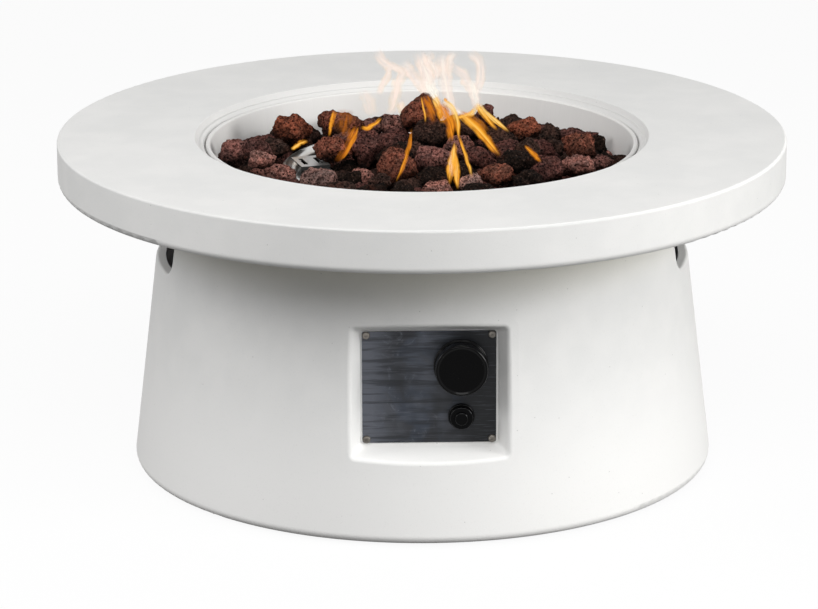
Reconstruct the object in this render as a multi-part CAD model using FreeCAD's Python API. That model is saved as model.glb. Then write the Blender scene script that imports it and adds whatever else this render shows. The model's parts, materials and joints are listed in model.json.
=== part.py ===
import FreeCAD, Part

import math
import os
import random

V = FreeCAD.Vector
UP = V(0, 0, 1)
DOWN = V(0, 0, -1)
RIGHT = V(1, 0, 0)
LEFT = V(-1, 0, 0)
FRONT = V(0, -1, 0)
REAR = V(0, 1, 0)

# All sizes are in millimetres. The origin is on the ground under the middle of the table,
# +Z is up and the control recess faces -Y.

# Overall sizes
TABLE_HEIGHT = 420.0
TOP_RADIUS = 457.0
RIM_DEPTH = 54.0
FOOT_RADIUS = 368.5
HEAD_MARGIN = 57.0

# Cast walls
TOP_SKIN = 16.0
RIM_WALL = 24.0
RIM_TOP_ROUND = 3.0
RIM_UNDER_ROUND = 9.0
HOLLOW_ROUND = 6.0
EDGE_ROUND = 1.5
NECK_WALL = 50.0
BASE_WALL = 12.0
BASE_FLANGE = 12.0
FLANGE_GAP = 5.0
FOOT_ROUND = 10.0
FOOT_RING_HEIGHT = 14.0
FOOT_RING_INNER = 330.0

# Fire bowl
BOWL_RADIUS = 267.0
BOWL_SHEET = 1.2
BOWL_DEPTH = 65.0
BOWL_TAPER = 9.0
BOWL_CORNER = 12.0
LIP_REACH = 5.6
LIP_ROUND = 2.7
LIP_DROP = 8.0
LIP_SINK = 9.0
LIP_GAP = 1.0
BOWL_GAP = 1.2
DRAIN_RADIUS = 4.0
DRAIN_CIRCLE = 225.0
DRAINS = 6

# Stepped edge of the round opening in the top
REBATE_SLOPE = 0.6
LOWER_SLOPE = 4.5
LEDGE_WIDTH = 3.0
UPPER_SLOPE = 4.5
LOWER_DEPTH = 12.0
LEDGE_DEPTH = 7.0
UPPER_DEPTH = 6.5

# How the top sits on the base
TOP_PAD = 3.0
TOP_PAD_RADIUS = 16.0
TOP_BOLTS = 4
BOLT_RADIUS = 4.0
BOLT_GRIP = 37.0
BOLT_HEAD_FLATS = 13.0
BOLT_HEAD = 5.3
WASHER_RADIUS = 10.5
WASHER = 2.0
INSERT_RADIUS = 6.0
INSERT_LENGTH = 22.0

# Feet
FOOT_PAD_SHOW = 3.0
FOOT_PAD_SUNK = 5.0
FOOT_PAD_RADIUS = 9.0
FOOT_PAD_CIRCLE = 342.0
FOOT_PADS = 6

# Hand slot on each side of the base
SLOT_WIDTH = 230.0
SLOT_HEIGHT = 60.0
SLOT_SILL = 268.0
SLOT_CORNER = 20.0
SLOT_LIP_ROUND = 4.0

# Hose hole in the rear of the base
HOSE_HOLE_RADIUS = 20.0
HOSE_HOLE_HEIGHT = 60.0
GROMMET_BORE = 12.0
GROMMET_SHOW = 3.0

# Control recess and panel
PANEL_WIDTH = 161.0
PANEL_HEIGHT = 140.0
PANEL_SHEET = 1.5
PANEL_CORNER = 3.0
PANEL_GAP = 2.0
PANEL_MIDDLE = 184.5
RECESS_DEPTH = 36.0
RECESS_WALL = 12.0
RECESS_CORNER = 5.0
RECESS_LIP_ROUND = 5.0
FLARE_SIDE_LOW = 16.5
FLARE_SIDE_HIGH = 21.5
FLARE_DOWN = 9.0
FLARE_UP = 11.5
WINDOW_WIDTH = 128.0
WINDOW_HEIGHT = 112.0
PANEL_SCREW_SPREAD_X = 151.0
PANEL_SCREW_SPREAD_Z = 131.0
PANEL_SCREW_RADIUS = 2.5
PANEL_SCREW_LENGTH = 10.0
PANEL_SCREW_HEAD_RADIUS = 4.8
PANEL_SCREW_HEAD = 3.0
PANEL_INSERT_RADIUS = 4.0
PANEL_INSERT_LENGTH = 10.0

# Gas valve and knob; depths are counted rearwards from the panel's back
KNOB_X = 38.0
KNOB_RISE = 29.0
KNOB_TRAVEL = 4.0
KNOB_SKIRT_RADIUS = 33.0
KNOB_FACE_RADIUS = 31.5
KNOB_SKIRT = 4.0
KNOB_LENGTH = 24.0
KNOB_STAND_OFF = 7.0
KNOB_FACE_ROUND = 2.5
KNOB_HOLLOW_RADIUS = 24.0
KNOB_HOLLOW_DEPTH = 8.0
KNOB_HUB_RADIUS = 9.0
KNOB_INDEX_WIDTH = 1.6
KNOB_INDEX_DEPTH = 0.8
SPINDLE_RADIUS = 4.0
SPINDLE_FLAT = 3.0
SPINDLE_TIP_GAP = 6.0
COLLAR_RADIUS = 6.0
COLLAR = 1.5
THRUST_WASHER_RADIUS = 7.8
THRUST_WASHER = 2.0
TONGUE = 3.0
TONGUE_WIDTH = 7.0
TONGUE_LENGTH = 9.5
VALVE_SIDE = 38.0
VALVE_LENGTH = 51.5
BONNET = 5.0
BONNET_BOSS_RADIUS = 9.0
BONNET_BOSS = 2.6
CHAMBER_RADIUS = 8.0
CHAMBER_DEPTH = 20.5
CHAMBER_FLOOR = 3.0
PLUG_RADIUS = 9.0
PLUG_REAR_GAP = 2.3
PLUG_SOCKET_DEPTH = 4.5
PLUG_SLOT_DEPTH = 13.0
PLUG_PORT_RADIUS = 2.5
BACK_CAP = 5.0
BACK_CAP_SPIGOT = 1.5
VALVE_SCREW_SPREAD = 28.0
VALVE_SCREW_RADIUS = 2.0
VALVE_SCREW_HEAD_RADIUS = 4.0
VALVE_SCREW_HEAD = 2.5
VALVE_SCREW_LENGTH = 16.0
GAS_BORE_RADIUS = 3.0
FITTING_FLATS = 19.0
FITTING_HEX = 7.0
OUTLET_NIPPLE_RADIUS = 6.0
OUTLET_NIPPLE = 10.0
INLET_NIPPLE_RADIUS = 7.94
INLET_NIPPLE = 19.0
MAGNET_RADIUS = 8.0
MAGNET_LENGTH = 16.0
MAGNET_NUT_FLATS = 12.0
MAGNET_NUT = 7.0

# Igniter
IGNITER_X = 38.5
IGNITER_DROP = 37.0
IGNITER_TRAVEL = 4.0
CASE_RADIUS = 12.5
CASE_BORE = 9.5
CASE_SHOW = 7.0
CASE_REAR = 70.0
CASE_END = 3.0
BEZEL_RADIUS = 16.0
BEZEL_FLANGE = 4.0
BEZEL_NOSE_RADIUS = 14.0
BEZEL_LENGTH = 11.0
BEZEL_ROUND = 1.5
BUTTON_RADIUS = 8.0
BUTTON_SHOW = 3.0
BUTTON_FLANGE_RADIUS = 9.3
BUTTON_FLANGE = 2.0
IGNITER_NUT_FLATS = 30.0
IGNITER_NUT = 5.0
BATTERY_RADIUS = 7.2
BATTERY_LENGTH = 50.5
TERMINAL_SPREAD = 8.0
TERMINAL_RADIUS = 1.5
TERMINAL_LENGTH = 8.0
BUTTON_SPRING_LENGTH = 8.8
SPRING_WIRE = 0.5
SPRING_TURNS = 5

# Burner and what feeds it
BURNER_RADIUS = 168.0
BURNER_TUBE = 11.0
BURNER_WALL = 1.5
BURNER_LIFT = 12.0
CROSS_TUBE = 8.0
HUB_RADIUS = 16.0
HUB_HEIGHT = 38.0
STUB_RADIUS = 10.5
STUB_BORE = 7.0
STUB_LENGTH = 28.0
PORT_RADIUS = 1.2
RING_PORTS = 36
CROSS_PORTS = 6
LOCK_NUT_FLATS = 30.0
LOCK_NUT = 8.5
MIXER_RADIUS = 14.0
MIXER_GRIP = 18.0
MIXER_LENGTH = 48.0
MIXER_BORE = 8.0
AIR_WINDOW_WIDTH = 10.0
AIR_WINDOW_HEIGHT = 14.0
AIR_WINDOW_RISE = 10.0
ELBOW_RADIUS = 11.0
ELBOW_HEIGHT = 24.0
ELBOW_ARM_RADIUS = 8.0
ELBOW_ARM = 30.0
ELBOW_ARM_DROP = 14.0
ELBOW_SPIGOT = 8.0
ORIFICE_RADIUS = 0.8
GAS_TUBE_RADIUS = 5.0
GAS_TUBE_BORE = 3.6
TUBE_NUT_FLATS = 17.0
TUBE_NUT = 12.0

# Heat shield under the bowl
SHIELD_RADIUS = 230.0
SHIELD_SHEET = 1.0
SHIELD_EDGE = 12.0
SHIELD_GAP = 44.8
SHIELD_STUDS = 4
STUD_CIRCLE = 185.0
STUD_RADIUS = 3.0
STUD_LENGTH = 55.0
STUD_NUT_FLATS = 10.0
STUD_NUT = 5.0

# Pilot group, set by its own centre and turn on the bowl's floor
PILOT_INSET = 28.0
PILOT_Y = -24.0
PILOT_TURN = 16.0
HOOD_WIDTH = 37.0
HOOD_LENGTH = 50.0
HOOD_HEIGHT = 45.0
HOOD_SHEET = 1.5
HOOD_LIP = 5.0
HOOD_SLOT_WIDTH = 5.5
HOOD_SLOT_LENGTH = 30.0
HOOD_SLOT_SPREAD = 19.0
RISER_LEFT = -5.0
PILOT_FOOT = 22.0
CLIP_HEIGHT = 17.5
CLIP_REACH = 27.0
PROBE_Y = 8.0
ELECTRODE_X = 0.0
COUPLE_X = 12.0
CERAMIC_RADIUS = 3.0
CERAMIC_TOP = 28.0
CERAMIC_BELOW = 16.0
PIN_RADIUS = 1.0
PIN_TOP = 36.0
PIN_BELOW = 20.0
PIN_TIP = 5.0
COUPLE_RADIUS = 2.5
COUPLE_TOP = 34.0
COUPLE_BELOW = 16.0
PILOT_SCREW_Y = 19.0
PILOT_SCREW_X = (0.5, 13.0)
PILOT_SCREW_RADIUS = 2.0
PILOT_SCREW_HEAD_RADIUS = 3.5
PILOT_SCREW_HEAD = 2.0
PILOT_SCREW_LENGTH = 9.5
PILOT_NUT_FLATS = 7.0
PILOT_NUT = 3.2
LEAD_HOLE_RADIUS = 16.0
LEAD_GROMMET_BORE = 11.5
LEAD_GROMMET = 7.0
COUPLE_LEAD_RADIUS = 1.2
SPARK_LEAD_RADIUS = 1.5
EARTH_LEAD_RADIUS = 1.3

# Lava stones, each cut from a ball; the floor rings are (offset from the burner, stones, ball radius)
STONE_RADIUS = 23.5
STONE_SPREAD = 1.8
STONE_GAP = 0.1
STONE_CORNERS = 19
FLOOR_RINGS = [(-128.0, 5, 22.0), (-82.0, 10, 23.0), (-38.0, 14, 24.0), (48.0, 26, 23.0)]
FLOOR_PLAY = 8.0
FILL_RADIUS = 16.0
FILL_TRIES = 700
FILL_RISE = 19.0
FILL_FALL = 0.05
FILL_FALL_REAR = 0.16

# Running and fitting clearances
RUNNING = 0.05
FREE = 0.3

# Places that follow from the sizes above
UNDERSIDE = TABLE_HEIGHT - RIM_DEPTH
HEAD_RADIUS = BOWL_RADIUS + HEAD_MARGIN
BASE_TOP = UNDERSIDE - TOP_PAD
LIP_TOP = TABLE_HEIGHT - LIP_SINK
LIP_SEAT = LIP_TOP - LIP_DROP
BOWL_FLOOR = LIP_TOP - BOWL_DEPTH
BOWL_UNDER = BOWL_FLOOR - BOWL_SHEET
BOWL_INNER = BOWL_RADIUS - BOWL_SHEET
LIP_RADIUS = BOWL_INNER + LIP_REACH
NECK_BORE = BOWL_RADIUS + BOWL_GAP
NECK_RADIUS = NECK_BORE + NECK_WALL
REBATE_RADIUS = LIP_RADIUS + LIP_GAP
FLANGE_INNER = BOWL_RADIUS + FLANGE_GAP
BOLT_CIRCLE = (FLANGE_INNER + NECK_RADIUS) / 2


def cone_radius(z):
    """Outer radius of the base at a height."""
    return FOOT_RADIUS + (HEAD_RADIUS - FOOT_RADIUS) * z / UNDERSIDE


PANEL_FACE = -(cone_radius(PANEL_MIDDLE) - RECESS_DEPTH)
PANEL_BACK = PANEL_FACE + PANEL_SHEET
KNOB_Z = PANEL_MIDDLE + KNOB_RISE
IGNITER_Z = PANEL_MIDDLE - IGNITER_DROP
VALVE_FRONT = PANEL_BACK + BONNET
FLAT_END = PANEL_FACE - BONNET_BOSS - KNOB_TRAVEL - FREE
VALVE_REAR = VALVE_FRONT + VALVE_LENGTH
CHAMBER_REAR = VALVE_FRONT + CHAMBER_DEPTH
PLUG_FRONT = CHAMBER_REAR + CHAMBER_FLOOR
PLUG_REAR = VALVE_REAR - PLUG_REAR_GAP
PLUG_PORT = (PLUG_FRONT + PLUG_SLOT_DEPTH + PLUG_REAR) / 2
OUTLET_END = VALVE_REAR + BACK_CAP + FITTING_HEX + OUTLET_NIPPLE
CASE_FRONT = PANEL_FACE - CASE_SHOW
CASE_BACK = PANEL_FACE + CASE_REAR
BURNER_HEIGHT = BOWL_FLOOR + BURNER_LIFT + BURNER_TUBE
STUB_END = BOWL_FLOOR - STUB_LENGTH
MIXER_TOP = STUB_END + MIXER_GRIP - 2 * FREE
MIXER_END = MIXER_TOP - MIXER_LENGTH
ELBOW_ARM_HEIGHT = MIXER_END - ELBOW_ARM_DROP
SHIELD_TOP = BOWL_UNDER - SHIELD_GAP
SHIELD_UNDER = SHIELD_TOP - SHIELD_SHEET
PILOT_X = -(BURNER_RADIUS - PILOT_INSET)

# Stones that show, placed by hand from the rear to the front: (x, y, radius of the ball)
SHOWN_LOW = [
    (-185, -60, 22), (-199, -91, 19), (-235, 5, 20), (246, 12, 13), (-207, -48, 18),
    (225, 75, 20), (190, -113, 21), (13, -178, 18), (98, -154, 18), (-185, 25, 22),
    (150, -138, 22), (-128, -128, 23), (-48, -152, 18), (56, -140, 19), (220, 5, 17),
    (86, -188, 24), (-84, -106, 24), (12, -124, 22), (193, -37, 25), (117, -107, 23),
    (148, -5, 24),
]
SHOWN_MIDDLE = [
    (45, -16, 22), (-104, 75, 26), (-64, 147, 18), (-162, 88, 25), (166, 90, 20),
    (124, 83, 21), (71, -65, 22), (-33, -100, 27), (95, 5, 22), (-116, -53, 24),
    (-73, -26, 26), (-33, 100, 20), (102, 110, 17), (130, 30, 22), (-34, 30, 22),
    (12, -78, 24),
]
SHOWN_TOP = [(82, 85, 19), (12, 13, 24), (62, 21, 20), (7, 62, 28)]


def bend(before, corner, after, radius):
    """Start, middle and end of the arc that rounds a corner."""
    back = (before - corner).normalize()
    ahead = (after - corner).normalize()
    half = back.getAngle(ahead) / 2
    reach = radius / math.tan(half)
    middle = corner + (back + ahead).normalize() * (radius / math.sin(half) - radius)
    return corner + back * reach, middle, corner + ahead * reach


def smooth_wire(spots, radii, closed):
    """Straight runs joined by tangent arcs; a radius of 0 leaves a corner sharp."""
    count = len(spots)
    stops = []
    for i, spot in enumerate(spots):
        if radii[i]:
            stops.append(bend(spots[i - 1], spot, spots[(i + 1) % count], radii[i]))
        else:
            stops.append((spot, spot, spot))
    edges = []
    for i in range(count if closed else count - 1):
        leave = stops[i][2]
        arrive, middle, onward = stops[(i + 1) % count]
        if leave.distanceToPoint(arrive) > 1e-6:
            edges.append(Part.LineSegment(leave, arrive).toShape())
        if arrive.distanceToPoint(onward) > 1e-6:
            edges.append(Part.Arc(arrive, middle, onward).toShape())
    return Part.Wire(edges)


def turned(points):
    """Solid of revolution about +Z from (radius, height, corner radius) points."""
    spots = [V(p[0], 0, p[1]) for p in points]
    wire = smooth_wire(spots, [p[2] for p in points], True)
    return Part.Face(wire).revolve(V(0, 0, 0), UP, 360)


def lathe(start, axis, points):
    """Solid of revolution along an axis from (radius, distance, corner radius) points."""
    return put(turned(points), start, axis)


def put(shape, start, axis):
    """Moves a shape that was made along +Z from the origin."""
    shape.Placement = FreeCAD.Placement(start, FreeCAD.Rotation(UP, axis))
    return shape


def rod(radius, start, axis, length):
    return Part.makeCylinder(radius, length, start, axis)


def ring(outer, bore, start, axis, length):
    return rod(outer, start, axis, length).cut(rod(bore, start, axis, length))


def hexagon(flats, start, axis, length):
    """Hexagonal prism by its width across flats."""
    corner = flats / math.sqrt(3)
    points = [V(corner, 0, 0)]
    for i in range(1, 7):
        angle = math.radians(60 * i)
        points.append(V(corner * math.cos(angle), corner * math.sin(angle), 0))
    return put(Part.Face(Part.makePolygon(points)).extrude(UP * length), start, axis)


def nut(flats, bore, start, axis, length):
    return hexagon(flats, start, axis, length).cut(rod(bore, start, axis, length))


def block(x0, x1, y0, y1, z0, z1):
    return Part.makeBox(x1 - x0, y1 - y0, z1 - z0, V(x0, y0, z0))


def soft_block(x0, x1, y0, y1, z0, z1, radius, axis):
    """Block whose four edges along an axis are rounded."""
    solid = block(x0, x1, y0, y1, z0, z1)
    edges = []
    for edge in solid.Edges:
        run = edge.Vertexes[1].Point - edge.Vertexes[0].Point
        if abs(abs(run.normalize().dot(axis)) - 1) < 1e-6:
            edges.append(edge)
    return solid.makeFillet(radius, edges)


def round_circle(radius, count, height, first=0.0):
    """Evenly spaced points on a circle about +Z."""
    spots = []
    for i in range(count):
        angle = math.radians(first + 360.0 * i / count)
        spots.append(V(radius * math.cos(angle), radius * math.sin(angle), height))
    return spots


def screw(head_radius, head, radius, length, start, axis):
    """Pan-head cross-slot screw: the head's underside is at start, the shank runs along the axis."""
    top = lathe(start, axis * -1, [
        (0, 0, 0), (head_radius, 0, 0), (head_radius, head, head * 0.6), (0, head, 0)])
    shank = rod(radius, start, axis, length)
    solid = top.fuse(shank).removeSplitter()
    slot = head_radius * 0.3
    cross = block(-head_radius * 0.6, head_radius * 0.6, -slot / 2, slot / 2, head * 0.45, head * 2)
    for quarter in (0, 90):
        arm = cross.copy()
        arm.rotate(V(0, 0, 0), UP, quarter + 45)
        solid = solid.cut(put_more(arm, start, axis * -1))
    return solid


def put_more(shape, start, axis):
    """Moves an already placed shape as if it had been made along +Z from the origin."""
    shape.Placement = FreeCAD.Placement(start, FreeCAD.Rotation(UP, axis)).multiply(shape.Placement)
    return shape


def spring(radius, wire, turns, start, axis, length):
    """Round-wire compression spring that fills the given length."""
    pitch = (length - 2 * wire) / turns
    path = Part.makeHelix(pitch, pitch * turns, radius)
    section = Part.Wire(Part.makeCircle(wire, V(radius, 0, 0), V(0, 1, 0)))
    coil = Part.Wire(path).makePipeShell([section], True, True)
    coil.translate(UP * wire)
    return put_more(coil, start, axis)


def route(name, points, radius):
    """Tube along a route whose arcs are as large as their runs allow."""
    spots = [V(*p) for p in points]
    radii = [0.0] * len(spots)
    for i in range(1, len(spots) - 1):
        before = spots[i - 1] - spots[i]
        after = spots[i + 1] - spots[i]
        turn = math.pi - before.getAngle(after)
        shorter = min(before.Length, after.Length)
        radii[i] = 0.45 * shorter / math.tan(turn / 2)
    path = smooth_wire(spots, radii, False)
    start = (spots[1] - spots[0]).normalize()
    section = Part.Wire(Part.makeCircle(radius, spots[0], start))
    solid = path.makePipeShell([section], True, False)
    share = solid.Volume / (math.pi * radius ** 2 * path.Length)
    least = min(radii[1:-1])
    print(f"{name}: length {path.Length:.0f}, least bend {least:.0f}, volume share {share:.4f}")
    return solid


def table_top():
    """Cast disc, hollow below, with a stepped opening and a neck that sits on the base."""
    ledge = REBATE_RADIUS + REBATE_SLOPE + LOWER_SLOPE
    solid = turned([
        (ledge + LEDGE_WIDTH + UPPER_SLOPE, TABLE_HEIGHT, EDGE_ROUND),
        (TOP_RADIUS, TABLE_HEIGHT, RIM_TOP_ROUND),
        (TOP_RADIUS, UNDERSIDE, RIM_UNDER_ROUND),
        (TOP_RADIUS - RIM_WALL, UNDERSIDE, EDGE_ROUND),
        (TOP_RADIUS - RIM_WALL, TABLE_HEIGHT - TOP_SKIN, HOLLOW_ROUND),
        (NECK_RADIUS, TABLE_HEIGHT - TOP_SKIN, HOLLOW_ROUND),
        (NECK_RADIUS, UNDERSIDE, EDGE_ROUND),
        (NECK_BORE, UNDERSIDE, EDGE_ROUND),
        (NECK_BORE, LIP_SEAT, 0),
        (REBATE_RADIUS, LIP_SEAT, 0),
        (REBATE_RADIUS + REBATE_SLOPE, TABLE_HEIGHT - LOWER_DEPTH, EDGE_ROUND),
        (ledge, TABLE_HEIGHT - LEDGE_DEPTH, EDGE_ROUND / 2),
        (ledge + LEDGE_WIDTH, TABLE_HEIGHT - UPPER_DEPTH, EDGE_ROUND / 2),
    ])
    for spot in bolt_spots(UNDERSIDE):
        solid = solid.cut(rod(INSERT_RADIUS + RUNNING, spot, UP, INSERT_LENGTH + FREE))
    return solid


def bolt_spots(height):
    return round_circle(BOLT_CIRCLE, TOP_BOLTS, height, 45.0)


def recess_wire(depth_share, grow):
    """Outline of the recess, from its back wall (share 0) to just outside the cone (share 1)."""
    half = PANEL_WIDTH / 2 + PANEL_GAP + grow
    low = PANEL_MIDDLE - PANEL_HEIGHT / 2 - PANEL_GAP - grow
    high = PANEL_MIDDLE + PANEL_HEIGHT / 2 + PANEL_GAP + grow
    back = PANEL_BACK + grow
    mouth_low = -cone_radius(low - FLARE_DOWN)
    mouth_high = -cone_radius(high + FLARE_UP)
    y_low = back + (mouth_low - back) * depth_share
    y_high = back + (mouth_high - back) * depth_share
    z_low = low - FLARE_DOWN * depth_share
    z_high = high + FLARE_UP * depth_share
    wide_low = half + FLARE_SIDE_LOW * depth_share
    wide_high = half + FLARE_SIDE_HIGH * depth_share
    spots = [
        V(-wide_low, y_low, z_low), V(wide_low, y_low, z_low),
        V(wide_high, y_high, z_high), V(-wide_high, y_high, z_high),
    ]
    return smooth_wire(spots, [RECESS_CORNER + grow] * 4, True)


def recess_block(grow):
    """Flared block of the control recess, grown on all sides, run out past the cone."""
    return Part.makeLoft([recess_wire(0.0, grow), recess_wire(1.35, grow)], True, True)


def cone_block():
    """Full cone of the base's outer surface."""
    return Part.makeCone(cone_radius(0), cone_radius(UNDERSIDE), UNDERSIDE)


def base_shell():
    """Hollow cone with a flange at the top and a ring at the foot."""
    flange_under = BASE_TOP - BASE_FLANGE
    ring_top = FOOT_PAD_SHOW + FOOT_RING_HEIGHT
    return turned([
        (cone_radius(FOOT_PAD_SHOW), FOOT_PAD_SHOW, FOOT_ROUND),
        (cone_radius(BASE_TOP), BASE_TOP, EDGE_ROUND),
        (FLANGE_INNER, BASE_TOP, EDGE_ROUND),
        (FLANGE_INNER, flange_under, EDGE_ROUND),
        (cone_radius(flange_under) - BASE_WALL, flange_under, HOLLOW_ROUND),
        (cone_radius(ring_top) - BASE_WALL, ring_top, HOLLOW_ROUND),
        (FOOT_RING_INNER, ring_top, EDGE_ROUND),
        (FOOT_RING_INNER, FOOT_PAD_SHOW, EDGE_ROUND),
    ])


def edges_on_cone(solid, wanted):
    """Edges that lie on the cone's outer surface with all their points where they are wanted."""
    found = []
    for edge in solid.Edges:
        spots = edge.discretize(7)
        on_cone = all(abs(math.hypot(p.x, p.y) - cone_radius(p.z)) < 0.02 for p in spots)
        if on_cone and all(wanted(p) for p in spots):
            found.append(edge)
    return found


def at_recess(p):
    inside = FOOT_PAD_SHOW + FOOT_ROUND * 2 < p.z < SLOT_SILL + SLOT_HEIGHT
    return inside and p.y < PANEL_FACE and abs(p.x) < PANEL_WIDTH


def at_hand_slot(p):
    rise = p.z - SLOT_SILL
    return -0.02 < rise < SLOT_HEIGHT + 0.02 and abs(p.y) < SLOT_WIDTH / 2 + 0.02


def panel_screw_spots(y):
    spots = []
    for side in (-1, 1):
        for rise in (-1, 1):
            x = side * PANEL_SCREW_SPREAD_X / 2
            spots.append(V(x, y, PANEL_MIDDLE + rise * PANEL_SCREW_SPREAD_Z / 2))
    return spots


def base():
    """Hollow cast cone with its control recess, hand slots, hose hole and seats."""
    shell = base_shell()
    pocket = recess_block(RECESS_WALL).common(cone_block())
    solid = shell.fuse(pocket).cut(recess_block(0.0))
    solid = solid.makeFillet(RECESS_LIP_ROUND, edges_on_cone(solid, at_recess))
    solid = solid.cut(soft_block(
        -WINDOW_WIDTH / 2, WINDOW_WIDTH / 2, PANEL_BACK - 1, PANEL_BACK + RECESS_WALL * 3,
        PANEL_MIDDLE - WINDOW_HEIGHT / 2, PANEL_MIDDLE + WINDOW_HEIGHT / 2, RECESS_CORNER, REAR))
    solid = solid.cut(soft_block(
        -TOP_RADIUS, TOP_RADIUS, -SLOT_WIDTH / 2, SLOT_WIDTH / 2,
        SLOT_SILL, SLOT_SILL + SLOT_HEIGHT, SLOT_CORNER, RIGHT))
    solid = solid.makeFillet(SLOT_LIP_ROUND, edges_on_cone(solid, at_hand_slot))
    solid = solid.cut(rod(HOSE_HOLE_RADIUS, V(0, 0, HOSE_HOLE_HEIGHT), REAR, TOP_RADIUS))
    for spot in bolt_spots(0):
        solid = solid.cut(rod(BOLT_RADIUS + FREE, spot + UP * (BASE_TOP - 2 * BASE_FLANGE), UP, TOP_RADIUS))
    for spot in panel_screw_spots(PANEL_BACK):
        solid = solid.cut(rod(PANEL_INSERT_RADIUS + RUNNING, spot, REAR, PANEL_INSERT_LENGTH + FREE))
    for spot in round_circle(FOOT_PAD_CIRCLE, FOOT_PADS, 0, 30.0):
        solid = solid.cut(rod(FOOT_PAD_RADIUS + RUNNING, spot, UP, FOOT_PAD_SHOW + FOOT_PAD_SUNK))
    return solid


def foot_pads():
    pads = []
    for spot in round_circle(FOOT_PAD_CIRCLE, FOOT_PADS, 0, 30.0):
        pads.append(lathe(spot, UP, [
            (0, 0, 0), (FOOT_PAD_RADIUS, 0, 1.0),
            (FOOT_PAD_RADIUS, FOOT_PAD_SHOW + FOOT_PAD_SUNK, 0),
            (0, FOOT_PAD_SHOW + FOOT_PAD_SUNK, 0)]))
    return pads


def top_pads():
    return [ring(TOP_PAD_RADIUS, BOLT_RADIUS + FREE, p, UP, TOP_PAD) for p in bolt_spots(BASE_TOP)]


def top_washers():
    height = BASE_TOP - BASE_FLANGE - WASHER
    return [ring(WASHER_RADIUS, BOLT_RADIUS + FREE, p, UP, WASHER) for p in bolt_spots(height)]


def top_bolts():
    bolts = []
    for spot in bolt_spots(BASE_TOP - BASE_FLANGE - WASHER):
        head = hexagon(BOLT_HEAD_FLATS, spot, DOWN, BOLT_HEAD)
        bolts.append(head.fuse(rod(BOLT_RADIUS, spot, UP, BOLT_GRIP)).removeSplitter())
    return bolts


def top_inserts():
    spots = bolt_spots(UNDERSIDE)
    return [ring(INSERT_RADIUS, BOLT_RADIUS + RUNNING, p, UP, INSERT_LENGTH) for p in spots]


def hose_grommet():
    """Rubber bush in the hose hole, flush with the cone but for a small show each side."""
    outer = cone_radius(HOSE_HOLE_HEIGHT)
    start = outer - BASE_WALL - GROMMET_SHOW
    length = BASE_WALL + 2 * GROMMET_SHOW
    wall = HOSE_HOLE_RADIUS - RUNNING
    return lathe(V(0, start, HOSE_HOLE_HEIGHT), REAR, [
        (GROMMET_BORE, 0, 1.5), (wall, 0, 1.5), (wall, length, 1.5), (GROMMET_BORE, length, 1.5)])


def pilot_place(shape):
    """Carries a shape from the pilot group's own frame onto the bowl's floor."""
    turn = FreeCAD.Rotation(UP, PILOT_TURN)
    spot = FreeCAD.Placement(V(PILOT_X, PILOT_Y, BOWL_FLOOR), turn)
    shape.Placement = spot.multiply(shape.Placement)
    return shape


def pilot_point(x, y, z):
    """The same, for a point."""
    return FreeCAD.Rotation(UP, PILOT_TURN).multVec(V(x, y, z)) + V(PILOT_X, PILOT_Y, BOWL_FLOOR)


def fire_bowl():
    """Sheet bowl with a rolled lip, holes for burner, pilot group and rain."""
    floor_inner = BOWL_INNER - BOWL_TAPER
    hole = STUB_RADIUS + FREE
    inner_round = LIP_ROUND - BOWL_SHEET
    solid = turned([
        (hole, BOWL_FLOOR, 0),
        (floor_inner, BOWL_FLOOR, BOWL_CORNER),
        (BOWL_INNER, LIP_TOP, LIP_ROUND),
        (LIP_RADIUS, LIP_TOP, LIP_ROUND),
        (LIP_RADIUS, LIP_SEAT, 0),
        (LIP_RADIUS - BOWL_SHEET, LIP_SEAT, 0),
        (LIP_RADIUS - BOWL_SHEET, LIP_TOP - BOWL_SHEET, inner_round),
        (BOWL_RADIUS, LIP_TOP - BOWL_SHEET, inner_round),
        (floor_inner + BOWL_SHEET, BOWL_UNDER, BOWL_CORNER + BOWL_SHEET),
        (hole, BOWL_UNDER, 0),
    ])
    reach = BOWL_SHEET * 4
    for spot in round_circle(DRAIN_CIRCLE, DRAINS, BOWL_FLOOR - reach / 2, 15.0):
        solid = solid.cut(rod(DRAIN_RADIUS, spot, UP, reach))
    for x, y, radius in pilot_holes():
        solid = solid.cut(rod(radius, pilot_point(x, y, -reach / 2), UP, reach))
    return solid


def pilot_holes():
    """Holes that the pilot group needs in its foot and in the bowl's floor: (x, y, radius)."""
    holes = [
        (ELECTRODE_X, PROBE_Y, CERAMIC_RADIUS + RUNNING),
        (COUPLE_X, PROBE_Y, COUPLE_RADIUS + RUNNING),
    ]
    for x in PILOT_SCREW_X:
        holes.append((x, PILOT_SCREW_Y, PILOT_SCREW_RADIUS + RUNNING))
    return holes


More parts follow.
